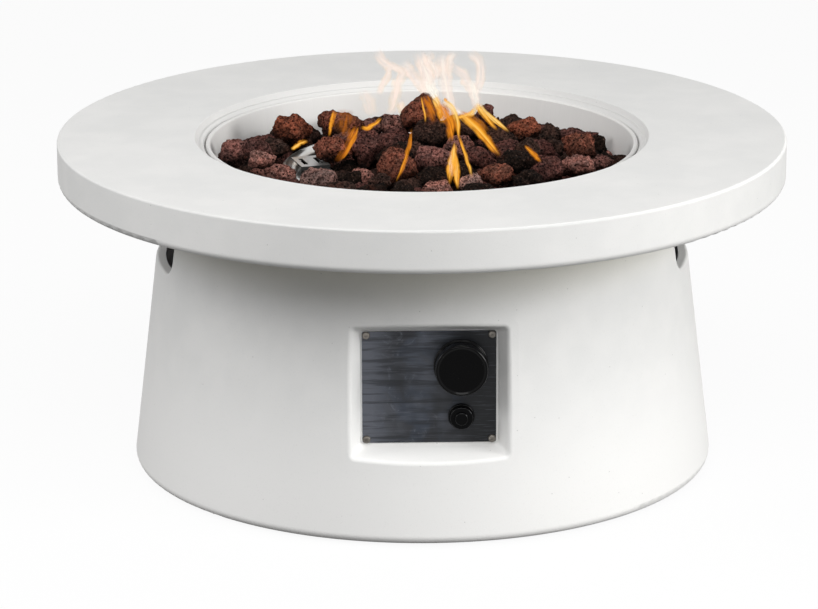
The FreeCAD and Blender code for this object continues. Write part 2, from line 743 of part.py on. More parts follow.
def ring_burner():
    """Hollow ring with a cross tube, a hub and a stub that goes down through the bowl."""
    middle = V(0, 0, BURNER_HEIGHT)
    cross_start = V(0, -BURNER_RADIUS, BURNER_HEIGHT)
    outer = Part.makeTorus(BURNER_RADIUS, BURNER_TUBE, middle)
    outer = outer.fuse(rod(CROSS_TUBE, cross_start, REAR, 2 * BURNER_RADIUS))
    outer = outer.fuse(rod(HUB_RADIUS, V(0, 0, BOWL_FLOOR), UP, HUB_HEIGHT))
    outer = outer.fuse(rod(STUB_RADIUS, V(0, 0, STUB_END), UP, STUB_LENGTH + BURNER_WALL))
    inner = Part.makeTorus(BURNER_RADIUS, BURNER_TUBE - BURNER_WALL, middle)
    inner = inner.fuse(rod(CROSS_TUBE - BURNER_WALL, cross_start, REAR, 2 * BURNER_RADIUS))
    inner = inner.fuse(rod(STUB_BORE, V(0, 0, STUB_END), UP, BURNER_HEIGHT - STUB_END))
    solid = outer.cut(inner)
    for spot in round_circle(BURNER_RADIUS, RING_PORTS, BURNER_HEIGHT, 5.0):
        solid = solid.cut(rod(PORT_RADIUS, spot, UP, 2 * BURNER_TUBE))
    pitch = (BURNER_RADIUS - BURNER_TUBE - HUB_RADIUS) / (CROSS_PORTS / 2 + 1)
    for side in (-1, 1):
        for i in range(1, CROSS_PORTS // 2 + 1):
            spot = V(0, side * (HUB_RADIUS + pitch * i), BURNER_HEIGHT)
            solid = solid.cut(rod(PORT_RADIUS, spot, UP, 2 * CROSS_TUBE))
    return solid


def burner_lock_nut():
    start = V(0, 0, BOWL_UNDER)
    return nut(LOCK_NUT_FLATS, STUB_RADIUS + RUNNING, start, DOWN, LOCK_NUT)


def air_mixer():
    """Tube under the burner stub where gas draws in air through two windows."""
    end = V(0, 0, MIXER_END)
    solid = rod(MIXER_RADIUS, end, UP, MIXER_LENGTH)
    solid = solid.cut(rod(MIXER_BORE + RUNNING, end, UP, MIXER_LENGTH))
    solid = solid.cut(rod(STUB_RADIUS + RUNNING, V(0, 0, MIXER_TOP - MIXER_GRIP), UP, MIXER_GRIP))
    low = MIXER_END + AIR_WINDOW_RISE
    window = block(
        -MIXER_RADIUS * 2, MIXER_RADIUS * 2, -AIR_WINDOW_WIDTH / 2, AIR_WINDOW_WIDTH / 2,
        low, low + AIR_WINDOW_HEIGHT)
    return solid.cut(window)


def injector_elbow():
    """Brass elbow with the gas jet in its spigot; its arm faces the front."""
    top = V(0, 0, MIXER_END)
    arm = V(0, 0, ELBOW_ARM_HEIGHT)
    solid = rod(ELBOW_RADIUS, top, DOWN, ELBOW_HEIGHT)
    solid = solid.fuse(rod(MIXER_BORE, top, UP, ELBOW_SPIGOT))
    solid = solid.fuse(rod(ELBOW_ARM_RADIUS, arm, FRONT, ELBOW_ARM))
    solid = solid.cut(rod(GAS_BORE_RADIUS, arm, FRONT, ELBOW_ARM))
    solid = solid.cut(rod(GAS_BORE_RADIUS, arm, UP, ELBOW_ARM_DROP + ELBOW_SPIGOT / 2))
    return solid.cut(rod(ORIFICE_RADIUS, arm, UP, ELBOW_ARM_DROP + ELBOW_SPIGOT))


def gas_tube_points():
    end = V(0, -ELBOW_ARM, ELBOW_ARM_HEIGHT)
    start = V(KNOB_X, OUTLET_END, KNOB_Z)
    return [
        tuple(start), (KNOB_X, OUTLET_END + 42, KNOB_Z), (34, -150, 222), (24, -114, 239),
        (10, -84, 259), (0, end.y - 30, end.z), tuple(end),
    ]


def gas_tube():
    points = gas_tube_points()
    return route("gas_tube", points, GAS_TUBE_RADIUS).cut(route("bore", points, GAS_TUBE_BORE))


def gas_tube_nuts():
    bore = GAS_TUBE_RADIUS + RUNNING
    return [
        nut(TUBE_NUT_FLATS, bore, V(0, -ELBOW_ARM, ELBOW_ARM_HEIGHT), FRONT, TUBE_NUT),
        nut(TUBE_NUT_FLATS, bore, V(KNOB_X, OUTLET_END, KNOB_Z), REAR, TUBE_NUT),
    ]


def heat_shield():
    """Round plate with a turned-up edge, hung under the bowl."""
    hole = MIXER_RADIUS + 2
    solid = turned([
        (hole, SHIELD_UNDER, 0), (SHIELD_RADIUS, SHIELD_UNDER, 3 * SHIELD_SHEET),
        (SHIELD_RADIUS, SHIELD_UNDER + SHIELD_EDGE, 0),
        (SHIELD_RADIUS - SHIELD_SHEET, SHIELD_UNDER + SHIELD_EDGE, 0),
        (SHIELD_RADIUS - SHIELD_SHEET, SHIELD_TOP, 2 * SHIELD_SHEET), (hole, SHIELD_TOP, 0),
    ])
    drill = V(0, 0, SHIELD_UNDER - SHIELD_EDGE)
    for spot in round_circle(STUD_CIRCLE, SHIELD_STUDS, 0, 45.0):
        solid = solid.cut(rod(STUD_RADIUS + FREE, spot + drill, UP, 2 * SHIELD_EDGE))
    return solid.cut(rod(LEAD_HOLE_RADIUS, lead_hole_spot() + drill, UP, 2 * SHIELD_EDGE))


def lead_hole_spot():
    """Middle of the pilot group's probes, on the ground plane."""
    spot = pilot_point((ELECTRODE_X + COUPLE_X) / 2, (PROBE_Y + PILOT_SCREW_Y) / 2, 0)
    return V(spot.x, spot.y, 0)


def shield_studs():
    spots = round_circle(STUD_CIRCLE, SHIELD_STUDS, BOWL_UNDER, 45.0)
    return [rod(STUD_RADIUS, p, DOWN, STUD_LENGTH) for p in spots]


def shield_nuts():
    """One nut above and one below the shield on each stud."""
    nuts = []
    bore = STUD_RADIUS + RUNNING
    for spot in round_circle(STUD_CIRCLE, SHIELD_STUDS, 0, 45.0):
        nuts.append(nut(STUD_NUT_FLATS, bore, spot + UP * SHIELD_TOP, UP, STUD_NUT))
        nuts.append(nut(STUD_NUT_FLATS, bore, spot + UP * SHIELD_UNDER, DOWN, STUD_NUT))
    return nuts


def lead_grommet():
    """Rubber ring with a groove that holds the shield's edge."""
    spot = lead_hole_spot() + UP * (SHIELD_UNDER - (LEAD_GROMMET - SHIELD_SHEET) / 2)
    lip = LEAD_HOLE_RADIUS + 2.5
    solid = ring(lip, LEAD_GROMMET_BORE, spot, UP, LEAD_GROMMET)
    groove = ring(lip * 2, LEAD_HOLE_RADIUS - RUNNING, V(spot.x, spot.y, SHIELD_UNDER), UP, SHIELD_SHEET)
    return solid.cut(groove)


def pilot_bracket():
    """Bent sheet: foot, riser, clip shelf and a slotted hood with a front lip."""
    half = HOOD_WIDTH / 2
    rear = HOOD_LENGTH / 2
    top = HOOD_HEIGHT - HOOD_SHEET
    solid = block(-half, half, -rear, rear, top, HOOD_HEIGHT)
    solid = solid.fuse(block(-half, half, -rear, -rear + HOOD_SHEET, HOOD_HEIGHT - HOOD_LIP, HOOD_HEIGHT))
    solid = solid.fuse(block(RISER_LEFT, half, rear - HOOD_SHEET, rear, 0, HOOD_HEIGHT))
    solid = solid.fuse(block(RISER_LEFT, half, rear - PILOT_FOOT, rear, 0, HOOD_SHEET))
    solid = solid.fuse(block(RISER_LEFT, half, rear - CLIP_REACH, rear, CLIP_HEIGHT - HOOD_SHEET, CLIP_HEIGHT))
    for side in (-1, 1):
        x = side * HOOD_SLOT_SPREAD / 2
        solid = solid.cut(soft_block(
            x - HOOD_SLOT_WIDTH / 2, x + HOOD_SLOT_WIDTH / 2, -HOOD_SLOT_LENGTH / 2,
            HOOD_SLOT_LENGTH / 2, top - 1, HOOD_HEIGHT + 1, HOOD_SLOT_WIDTH * 0.3, UP))
    for x, y, radius in pilot_holes():
        solid = solid.cut(rod(radius, V(x, y, -1), UP, CLIP_HEIGHT + 2))
    return pilot_place(solid.removeSplitter())


def pilot_screws():
    screws = []
    for x in PILOT_SCREW_X:
        screws.append(pilot_place(screw(
            PILOT_SCREW_HEAD_RADIUS, PILOT_SCREW_HEAD, PILOT_SCREW_RADIUS,
            PILOT_SCREW_LENGTH, V(x, PILOT_SCREW_Y, HOOD_SHEET), DOWN)))
    return screws


def pilot_nuts():
    bore = PILOT_SCREW_RADIUS + RUNNING
    nuts = []
    for x in PILOT_SCREW_X:
        start = V(x, PILOT_SCREW_Y, -BOWL_SHEET)
        nuts.append(pilot_place(nut(PILOT_NUT_FLATS, bore, start, DOWN, PILOT_NUT)))
    return nuts


def electrode_ceramic():
    start = V(ELECTRODE_X, PROBE_Y, -CERAMIC_BELOW)
    solid = ring(CERAMIC_RADIUS, PIN_RADIUS + RUNNING, start, UP, CERAMIC_BELOW + CERAMIC_TOP)
    return pilot_place(solid)


def electrode_pin():
    """Wire through the ceramic, bent towards the burner ring at its tip."""
    start = V(ELECTRODE_X, PROBE_Y, -PIN_BELOW)
    corner = V(ELECTRODE_X, PROBE_Y, PIN_TOP)
    tip = corner + V(-PIN_TIP, 0, PIN_TIP / 2)
    path = smooth_wire([start, corner, tip], [0, 2 * PIN_RADIUS, 0], False)
    section = Part.Wire(Part.makeCircle(PIN_RADIUS, start, UP))
    return pilot_place(path.makePipeShell([section], True, False))


def thermocouple():
    """Copper probe with a domed tip."""
    length = COUPLE_BELOW + COUPLE_TOP
    return pilot_place(lathe(V(COUPLE_X, PROBE_Y, -COUPLE_BELOW), UP, [
        (0, 0, 0), (COUPLE_RADIUS, 0, 0),
        (COUPLE_RADIUS, length, COUPLE_RADIUS * 0.8), (0, length, 0)]))


def couple_lead():
    start = pilot_point(COUPLE_X, PROBE_Y, -COUPLE_BELOW)
    x = KNOB_X - VALVE_SIDE / 2 - MAGNET_LENGTH - MAGNET_NUT
    return route("thermocouple_lead", [
        tuple(start), (start.x, start.y, 286), (-129, -26, 246), (-124, -62, 223),
        (-116, -112, 212), (-107, -165, 208), (-96, -213, 209), (-76, -248, 212),
        (x - 38, PLUG_PORT, KNOB_Z), (x, PLUG_PORT, KNOB_Z)], COUPLE_LEAD_RADIUS)


def spark_lead():
    start = pilot_point(ELECTRODE_X, PROBE_Y, -PIN_BELOW)
    x = IGNITER_X - TERMINAL_SPREAD / 2
    y = CASE_BACK + TERMINAL_LENGTH
    return route("spark_lead", [
        tuple(start), (start.x, start.y, 284), (-141, -26, 244), (-137, -50, 209),
        (-126, -85, 180), (-106, -120, 162), (-77, -148, 153), (-43, -163, 149),
        (-8, -166, 148), (x - 9, y + 58, IGNITER_Z), (x, y + 32, IGNITER_Z), (x, y, IGNITER_Z)],
        SPARK_LEAD_RADIUS)


def earth_lead():
    below = HOOD_SHEET - PILOT_SCREW_LENGTH
    start = pilot_point(PILOT_SCREW_X[0], PILOT_SCREW_Y, below)
    x = IGNITER_X + TERMINAL_SPREAD / 2
    y = CASE_BACK + TERMINAL_LENGTH
    return route("earth_lead", [
        tuple(start), (start.x, start.y, 292), (-135, -12, 248), (-128, -42, 212),
        (-115, -75, 184), (-95, -106, 166), (-67, -132, 157), (-34, -146, 152),
        (3, -150, 150), (x - 9, y + 66, IGNITER_Z), (x, y + 36, IGNITER_Z), (x, y, IGNITER_Z)],
        EARTH_LEAD_RADIUS)


def control_panel():
    """Flat plate with holes for the screws, the valve boss and the igniter."""
    half = PANEL_WIDTH / 2
    solid = soft_block(
        -half, half, PANEL_FACE, PANEL_BACK, PANEL_MIDDLE - PANEL_HEIGHT / 2,
        PANEL_MIDDLE + PANEL_HEIGHT / 2, PANEL_CORNER, REAR)
    holes = [
        (V(KNOB_X, PANEL_FACE, KNOB_Z), BONNET_BOSS_RADIUS + FREE),
        (V(IGNITER_X, PANEL_FACE, IGNITER_Z), CASE_RADIUS + FREE),
    ]
    holes += [(spot, VALVE_SCREW_RADIUS + RUNNING) for spot in valve_screw_spots(PANEL_FACE)]
    holes += [(spot, PANEL_SCREW_RADIUS + RUNNING) for spot in panel_screw_spots(PANEL_FACE)]
    for spot, radius in holes:
        solid = solid.cut(rod(radius, spot, REAR, PANEL_SHEET))
    return solid


def panel_screws():
    screws = []
    for spot in panel_screw_spots(PANEL_FACE):
        screws.append(screw(
            PANEL_SCREW_HEAD_RADIUS, PANEL_SCREW_HEAD, PANEL_SCREW_RADIUS,
            PANEL_SCREW_LENGTH, spot, REAR))
    return screws


def panel_inserts():
    spots = panel_screw_spots(PANEL_BACK)
    bore = PANEL_SCREW_RADIUS + RUNNING
    return [ring(PANEL_INSERT_RADIUS, bore, p, REAR, PANEL_INSERT_LENGTH) for p in spots]


def valve_screw_spots(y):
    return [V(KNOB_X + side * VALVE_SCREW_SPREAD / 2, y, KNOB_Z) for side in (-1, 1)]


def valve_screws():
    screws = []
    for spot in valve_screw_spots(PANEL_FACE):
        screws.append(screw(
            VALVE_SCREW_HEAD_RADIUS, VALVE_SCREW_HEAD, VALVE_SCREW_RADIUS,
            VALVE_SCREW_LENGTH, spot, REAR))
    return screws


def valve_square(y0, y1):
    half = VALVE_SIDE / 2
    return soft_block(KNOB_X - half, KNOB_X + half, y0, y1, KNOB_Z - half, KNOB_Z + half, 3.0, REAR)


def valve_bonnet():
    """Front plate of the valve; its boss comes through the panel and guides the spindle."""
    boss_start = V(KNOB_X, PANEL_FACE - BONNET_BOSS, KNOB_Z)
    solid = valve_square(PANEL_BACK, VALVE_FRONT)
    solid = solid.fuse(rod(BONNET_BOSS_RADIUS, boss_start, REAR, BONNET_BOSS + PANEL_SHEET))
    solid = solid.cut(rod(SPINDLE_RADIUS + RUNNING, boss_start, REAR, BONNET_BOSS + PANEL_SHEET + BONNET))
    for spot in valve_screw_spots(PANEL_BACK):
        solid = solid.cut(rod(VALVE_SCREW_RADIUS + RUNNING, spot, REAR, BONNET))
    return solid


def valve_body():
    """Cast block with the spring chamber, the plug bore and the side ports."""
    axis = V(KNOB_X, 0, KNOB_Z)
    solid = valve_square(VALVE_FRONT, VALVE_REAR)
    solid = solid.cut(rod(CHAMBER_RADIUS, axis + REAR * VALVE_FRONT, REAR, CHAMBER_DEPTH))
    solid = solid.cut(rod(SPINDLE_RADIUS + RUNNING, axis + REAR * CHAMBER_REAR, REAR, CHAMBER_FLOOR))
    solid = solid.cut(rod(PLUG_RADIUS + RUNNING, axis + REAR * PLUG_FRONT, REAR, VALVE_REAR - PLUG_FRONT))
    solid = solid.cut(rod(GAS_BORE_RADIUS, V(KNOB_X, PLUG_PORT, KNOB_Z), RIGHT, VALVE_SIDE))
    for spot in valve_screw_spots(VALVE_FRONT):
        solid = solid.cut(rod(VALVE_SCREW_RADIUS + RUNNING, spot, REAR, VALVE_SCREW_LENGTH))
    return solid


def valve_back_cap():
    axis = V(KNOB_X, 0, KNOB_Z)
    solid = valve_square(VALVE_REAR, VALVE_REAR + BACK_CAP)
    solid = solid.fuse(rod(PLUG_RADIUS, axis + REAR * VALVE_REAR, FRONT, BACK_CAP_SPIGOT))
    start = axis + REAR * (VALVE_REAR - BACK_CAP_SPIGOT)
    return solid.cut(rod(GAS_BORE_RADIUS, start, REAR, BACK_CAP + BACK_CAP_SPIGOT))


def valve_plug():
    """Turning plug: socket and slot for the spindle in front, gas way behind."""
    front = V(KNOB_X, PLUG_FRONT + RUNNING, KNOB_Z)
    rear = V(KNOB_X, PLUG_REAR, KNOB_Z)
    solid = rod(PLUG_RADIUS, front, REAR, PLUG_REAR - front.y)
    solid = solid.cut(rod(SPINDLE_RADIUS + FREE, front, REAR, PLUG_SOCKET_DEPTH))
    half_slot = TONGUE / 2 + RUNNING
    half_width = TONGUE_WIDTH / 2 + FREE
    solid = solid.cut(block(
        KNOB_X - half_slot, KNOB_X + half_slot, front.y, PLUG_FRONT + PLUG_SLOT_DEPTH,
        KNOB_Z - half_width, KNOB_Z + half_width))
    solid = solid.cut(rod(PLUG_PORT_RADIUS, rear, FRONT, PLUG_REAR - PLUG_PORT))
    return solid.cut(rod(PLUG_PORT_RADIUS, V(KNOB_X, PLUG_PORT, KNOB_Z), RIGHT, PLUG_RADIUS * 2))


def valve_spindle():
    """Turned rod with a flat for the knob, a collar for the spring and a tongue for the plug."""
    tip = PANEL_FACE - KNOB_STAND_OFF - KNOB_LENGTH + SPINDLE_TIP_GAP
    round_end = PLUG_FRONT - 1.0
    solid = rod(SPINDLE_RADIUS, V(KNOB_X, tip, KNOB_Z), REAR, round_end - tip)
    solid = solid.cut(block(
        KNOB_X - SPINDLE_RADIUS, KNOB_X + SPINDLE_RADIUS, tip, FLAT_END,
        KNOB_Z + SPINDLE_FLAT, KNOB_Z + SPINDLE_RADIUS))
    collar = V(KNOB_X, VALVE_FRONT + RUNNING, KNOB_Z)
    solid = solid.fuse(rod(COLLAR_RADIUS, collar, REAR, COLLAR))
    return solid.fuse(block(
        KNOB_X - TONGUE / 2, KNOB_X + TONGUE / 2, round_end, round_end + TONGUE_LENGTH,
        KNOB_Z - TONGUE_WIDTH / 2, KNOB_Z + TONGUE_WIDTH / 2))


def thrust_washer():
    """Washer between the spindle's collar and the return spring."""
    start = V(KNOB_X, VALVE_FRONT + RUNNING + COLLAR, KNOB_Z)
    return ring(THRUST_WASHER_RADIUS, SPINDLE_RADIUS + RUNNING, start, REAR, THRUST_WASHER)


def spindle_spring():
    start = VALVE_FRONT + RUNNING + COLLAR + THRUST_WASHER
    length = CHAMBER_REAR - start
    radius = (SPINDLE_RADIUS + CHAMBER_RADIUS) / 2
    return spring(radius, SPRING_WIRE, SPRING_TURNS, V(KNOB_X, start, KNOB_Z), REAR, length)


def safety_magnet():
    """Flame failure unit on the valve's left side, with the nut of the thermocouple lead."""
    start = V(KNOB_X - VALVE_SIDE / 2, PLUG_PORT, KNOB_Z)
    solid = rod(MAGNET_RADIUS, start, LEFT, MAGNET_LENGTH)
    return solid.fuse(hexagon(MAGNET_NUT_FLATS, start + LEFT * MAGNET_LENGTH, LEFT, MAGNET_NUT))


def fitting(start, axis, nipple_radius, nipple):
    """Hexagon against the valve and a round nipple, bored through."""
    solid = hexagon(FITTING_FLATS, start, axis, FITTING_HEX)
    solid = solid.fuse(rod(nipple_radius, start + axis * FITTING_HEX, axis, nipple))
    return solid.cut(rod(GAS_BORE_RADIUS, start, axis, FITTING_HEX + nipple))


def outlet_fitting():
    start = V(KNOB_X, VALVE_REAR + BACK_CAP, KNOB_Z)
    return fitting(start, REAR, OUTLET_NIPPLE_RADIUS, OUTLET_NIPPLE)


def inlet_fitting():
    start = V(KNOB_X + VALVE_SIDE / 2, PLUG_PORT, KNOB_Z)
    return fitting(start, RIGHT, INLET_NIPPLE_RADIUS, INLET_NIPPLE)


def control_knob():
    """Skirted round knob, hollow behind, with a hub on the spindle's flat."""
    back = V(KNOB_X, PANEL_FACE - KNOB_STAND_OFF, KNOB_Z)
    neck = KNOB_SKIRT + 1.0
    solid = lathe(back, FRONT, [
        (0, 0, 0), (KNOB_SKIRT_RADIUS, 0, 0), (KNOB_SKIRT_RADIUS, KNOB_SKIRT, 1.0),
        (KNOB_FACE_RADIUS - 1.5, neck, 1.0), (KNOB_FACE_RADIUS, KNOB_LENGTH, KNOB_FACE_ROUND),
        (0, KNOB_LENGTH, 0)])
    solid = solid.cut(rod(KNOB_HOLLOW_RADIUS, back, FRONT, KNOB_HOLLOW_DEPTH))
    solid = solid.fuse(rod(KNOB_HUB_RADIUS, back, FRONT, KNOB_HOLLOW_DEPTH + 1))
    depth = KNOB_LENGTH - SPINDLE_TIP_GAP + RUNNING
    bore = rod(SPINDLE_RADIUS + RUNNING, back, FRONT, depth)
    bore = bore.cut(block(
        KNOB_X - SPINDLE_RADIUS * 2, KNOB_X + SPINDLE_RADIUS * 2, back.y - depth, FLAT_END - FREE,
        KNOB_Z + SPINDLE_FLAT + RUNNING, KNOB_Z + SPINDLE_RADIUS * 2))
    index = block(
        KNOB_X - KNOB_INDEX_WIDTH / 2, KNOB_X + KNOB_INDEX_WIDTH / 2,
        back.y - KNOB_SKIRT, back.y, KNOB_Z + KNOB_SKIRT_RADIUS - KNOB_INDEX_DEPTH,
        KNOB_Z + KNOB_SKIRT_RADIUS + 1)
    return solid.cut(bore).cut(index).removeSplitter()


def igniter_body():
    """Tubular case with a closed rear end and two terminals."""
    front = V(IGNITER_X, CASE_FRONT, IGNITER_Z)
    length = CASE_BACK - CASE_FRONT
    solid = rod(CASE_RADIUS, front, REAR, length).cut(rod(CASE_BORE, front, REAR, length - CASE_END))
    for side in (-1, 1):
        spot = V(IGNITER_X + side * TERMINAL_SPREAD / 2, CASE_BACK, IGNITER_Z)
        solid = solid.fuse(rod(TERMINAL_RADIUS, spot, REAR, TERMINAL_LENGTH))
    return solid


def igniter_nut():
    start = V(IGNITER_X, PANEL_BACK, IGNITER_Z)
    return nut(IGNITER_NUT_FLATS, CASE_RADIUS + RUNNING, start, REAR, IGNITER_NUT)


def igniter_bezel():
    """Round cap screwed on the case in front of the panel."""
    start = V(IGNITER_X, PANEL_FACE, IGNITER_Z)
    bore = CASE_RADIUS + RUNNING
    opening = BUTTON_RADIUS + 4 * RUNNING
    inner = CASE_SHOW + 2 * RUNNING
    return lathe(start, FRONT, [
        (bore, 0, 0), (BEZEL_RADIUS, 0, 0), (BEZEL_RADIUS, BEZEL_FLANGE, BEZEL_ROUND),
        (BEZEL_NOSE_RADIUS, BEZEL_FLANGE, 0), (BEZEL_NOSE_RADIUS, BEZEL_LENGTH, BEZEL_ROUND),
        (opening, BEZEL_LENGTH, 0), (opening, inner, 0), (bore, inner, 0)])


def button_flange_front():
    return CASE_FRONT + 2 * RUNNING


def igniter_button():
    start = V(IGNITER_X, button_flange_front() + BUTTON_FLANGE, IGNITER_Z)
    face = BUTTON_FLANGE + (button_flange_front() - (PANEL_FACE - BEZEL_LENGTH - BUTTON_SHOW))
    return lathe(start, FRONT, [
        (0, 0, 0), (BUTTON_FLANGE_RADIUS, 0, 0), (BUTTON_FLANGE_RADIUS, BUTTON_FLANGE, 0),
        (BUTTON_RADIUS, BUTTON_FLANGE, 0), (BUTTON_RADIUS, face, BEZEL_ROUND), (0, face, 0)])


def igniter_spring():
    start = V(IGNITER_X, button_flange_front() + BUTTON_FLANGE, IGNITER_Z)
    return spring(BATTERY_RADIUS * 0.7, SPRING_WIRE, SPRING_TURNS - 1, start, REAR, BUTTON_SPRING_LENGTH)


def battery_start():
    return button_flange_front() + BUTTON_FLANGE + BUTTON_SPRING_LENGTH


def igniter_battery():
    return rod(BATTERY_RADIUS, V(IGNITER_X, battery_start(), IGNITER_Z), REAR, BATTERY_LENGTH)


def battery_contact():
    """Spring that carries the battery's rear end in the case."""
    start = battery_start() + BATTERY_LENGTH
    length = CASE_BACK - CASE_END - start
    return spring(BATTERY_RADIUS * 0.6, SPRING_WIRE, SPRING_TURNS, V(IGNITER_X, start, IGNITER_Z), REAR, length)


class Pile:
    """Balls dropped one by one into the bowl; each stays where it first touches."""

    def __init__(self):
        self.balls = []

    def lying_tube(self, offset, radius, tube):
        """Touch with a lying tube whose middle is at the burner's height: height and spot."""
        reach = radius + tube
        if abs(offset) >= reach:
            return None
        return BURNER_HEIGHT + math.sqrt(reach ** 2 - offset ** 2)

    def rest_height(self, x, y, radius):
        """Height of the middle of a ball dropped at x, y, and what it then touches."""
        best, touch = BOWL_FLOOR + radius, V(x, y, BOWL_FLOOR)
        out = math.hypot(x, y)
        height = self.lying_tube(out - BURNER_RADIUS, radius, BURNER_TUBE)
        if height and height > best:
            share = BURNER_RADIUS / out
            best, touch = height, V(x * share, y * share, BURNER_HEIGHT)
        height = self.lying_tube(x, radius, CROSS_TUBE)
        if abs(y) < BURNER_RADIUS and height and height > best:
            best, touch = height, V(0, y, BURNER_HEIGHT)
        if out < radius + HUB_RADIUS:
            share = max(0.0, out - HUB_RADIUS)
            height = BOWL_FLOOR + HUB_HEIGHT + math.sqrt(radius ** 2 - share ** 2)
            if height > best:
                near = min(1.0, HUB_RADIUS / max(out, 1.0))
                best, touch = height, V(x * near, y * near, BOWL_FLOOR + HUB_HEIGHT)
        best, touch = self.on_hood(x, y, radius, best, touch)
        for spot, other in self.balls:
            flat = math.hypot(x - spot.x, y - spot.y)
            if flat < radius + other:
                height = spot.z + math.sqrt((radius + other) ** 2 - flat ** 2)
                if height > best:
                    best, touch = height, spot
        return best, touch

    def on_hood(self, x, y, radius, best, touch):
        """The same for the pilot hood, taken as a full block."""
        turn = FreeCAD.Rotation(UP, -PILOT_TURN)
        spot = turn.multVec(V(x - PILOT_X, y - PILOT_Y, 0))
        near = V(
            max(-HOOD_WIDTH / 2, min(HOOD_WIDTH / 2, spot.x)),
            max(-HOOD_LENGTH / 2, min(HOOD_LENGTH / 2, spot.y)), 0)
        flat = (spot - near).Length
        if flat < radius:
            height = BOWL_FLOOR + HOOD_HEIGHT + math.sqrt(radius ** 2 - flat ** 2)
            if height > best:
                return height, pilot_point(near.x, near.y, HOOD_HEIGHT)
        return best, touch

    def wall_radius(self, z):
        share = min(1.0, max(0.0, (z - BOWL_FLOOR) / BOWL_DEPTH))
        return BOWL_INNER - BOWL_TAPER * (1 - share)

    def drop(self, x, y, radius):
        """Drops a ball, drawn in from the bowl's wall where it would touch it."""
        out = math.hypot(x, y)
        room = self.wall_radius(self.rest_height(x, y, radius)[0]) - radius - FREE
        share = min(1.0, room / max(out, 1.0))
        x, y = x * share, y * share
        height, touch = self.rest_height(x, y, radius)
        spot = V(x, y, height)
        self.balls.append((spot, radius))
        return spot, radius, touch


def ring_places(offset, count, size, dice):
    """Places round the bowl at a distance from the burner ring, a little uneven."""
    places = []
    for i in range(count):
        angle = 2 * math.pi * (i + 0.5 * dice.random()) / count
        radius = size + dice.uniform(-STONE_SPREAD, STONE_SPREAD)
        out = BURNER_RADIUS + offset + dice.uniform(-STONE_SPREAD, STONE_SPREAD)
        places.append((out * math.cos(angle), out * math.sin(angle), radius))
    return places


def fill_places(dice):
    """Places all over the bowl for smaller stones that fill the gaps of the pile."""
    places = []
    golden = math.pi * (3 - math.sqrt(5))
    for i in range(FILL_TRIES):
        out = (BOWL_INNER - STONE_RADIUS) * math.sqrt((i + 0.5) / FILL_TRIES)
        radius = dice.uniform(FILL_RADIUS - STONE_SPREAD, FILL_RADIUS + STONE_SPREAD)
        places.append((out * math.cos(golden * i), out * math.sin(golden * i), radius))
    return places


def crown(x, y):
    """Height that the tops of the filling stones stay under; it falls away to the wall and the rear."""
    return LIP_TOP + FILL_RISE - FILL_FALL * math.hypot(x, y) - FILL_FALL_REAR * max(0.0, y)


def stone_piles():
    """Stones of the floor, middle, top and filling layer, each as (middle, radius)."""
    dice = random.Random(4)
    pile = Pile()
    layers = {"floor": [], "middle": [], "top": [], "fill": []}
    touches = []

    def add(layer, x, y, radius):
        spot, radius, touch = pile.drop(x, y, radius)
        layers[layer].append((spot, radius))
        touches.append((spot, touch))

    for offset, count, size in FLOOR_RINGS:
        for x, y, radius in ring_places(offset, count, size, dice):
            if pile.rest_height(x, y, radius)[0] < BOWL_FLOOR + radius + FLOOR_PLAY:
                add("floor", x, y, radius)
    for x, y, radius in SHOWN_LOW + SHOWN_MIDDLE:
        add("middle", x, y, radius)
    for x, y, radius in SHOWN_TOP:
        add("top", x, y, radius)
    for x, y, radius in fill_places(dice):
        by_hood = math.hypot(x - PILOT_X, y - PILOT_Y + HOOD_WIDTH) < HOOD_WIDTH * 2
        if not by_hood and pile.rest_height(x, y, radius)[0] + radius < crown(x, y):
            add("fill", x, y, radius)
    return layers, touches


def spread_directions(dice):
    """Directions spread evenly over a ball, each a little off."""
    directions = []
    golden = math.pi * (3 - math.sqrt(5))
    start = dice.uniform(0, 2 * math.pi)
    for i in range(STONE_CORNERS):
        z = 1 - 2 * (i + 0.5) / STONE_CORNERS
        out = math.sqrt(1 - z * z)
        angle = start + golden * i
        direction = V(out * math.cos(angle), out * math.sin(angle), z)
        direction += V(dice.uniform(-0.2, 0.2), dice.uniform(-0.2, 0.2), dice.uniform(-0.2, 0.2))
        directions.append(direction.normalize())
    return directions


def hull(points):
    """Convex solid with triangle faces round a few points."""
    faces = []
    count = len(points)
    for i in range(count):
        for j in range(i + 1, count):
            for k in range(j + 1, count):
                normal = (points[j] - points[i]).cross(points[k] - points[i])
                sides = [normal.dot(p - points[i]) for n, p in enumerate(points) if n not in (i, j, k)]
                if max(sides) < 0:
                    faces.append((i, j, k))
                elif min(sides) > 0:
                    faces.append((i, k, j))
    flat = []
    for face in faces:
        corners = [points[n] for n in face]
        flat.append(Part.Face(Part.makePolygon(corners + corners[:1])))
    return Part.Solid(Part.Shell(flat))


def stone(spot, radius, touches, dice):
    """Broken stone: a corner at each touching neighbour, the others a little inside its ball."""
    ball = radius - STONE_GAP
    contacts = [(touch - spot).normalize() for touch in touches]
    points = [spot + direction * ball for direction in contacts]
    for direction in spread_directions(dice):
        if all(direction.getAngle(other) > 0.4 for other in contacts):
            points.append(spot + direction * ball * dice.uniform(0.92, 1.0))
    return hull(points)


LAYERS, TOUCHES = stone_piles()


def touching(spot):
    """Spots that a stone touches, as the one that rests or as the one that carries."""
    found = []
    for upper, lower in TOUCHES:
        if upper.distanceToPoint(spot) < 1e-6:
            found.append(lower)
        if lower.distanceToPoint(spot) < 1e-6:
            found.append(upper)
    return found


def stones(layer):
    dice = random.Random(len(layer))
    return [stone(spot, radius, touching(spot), dice) for spot, radius in LAYERS[layer]]


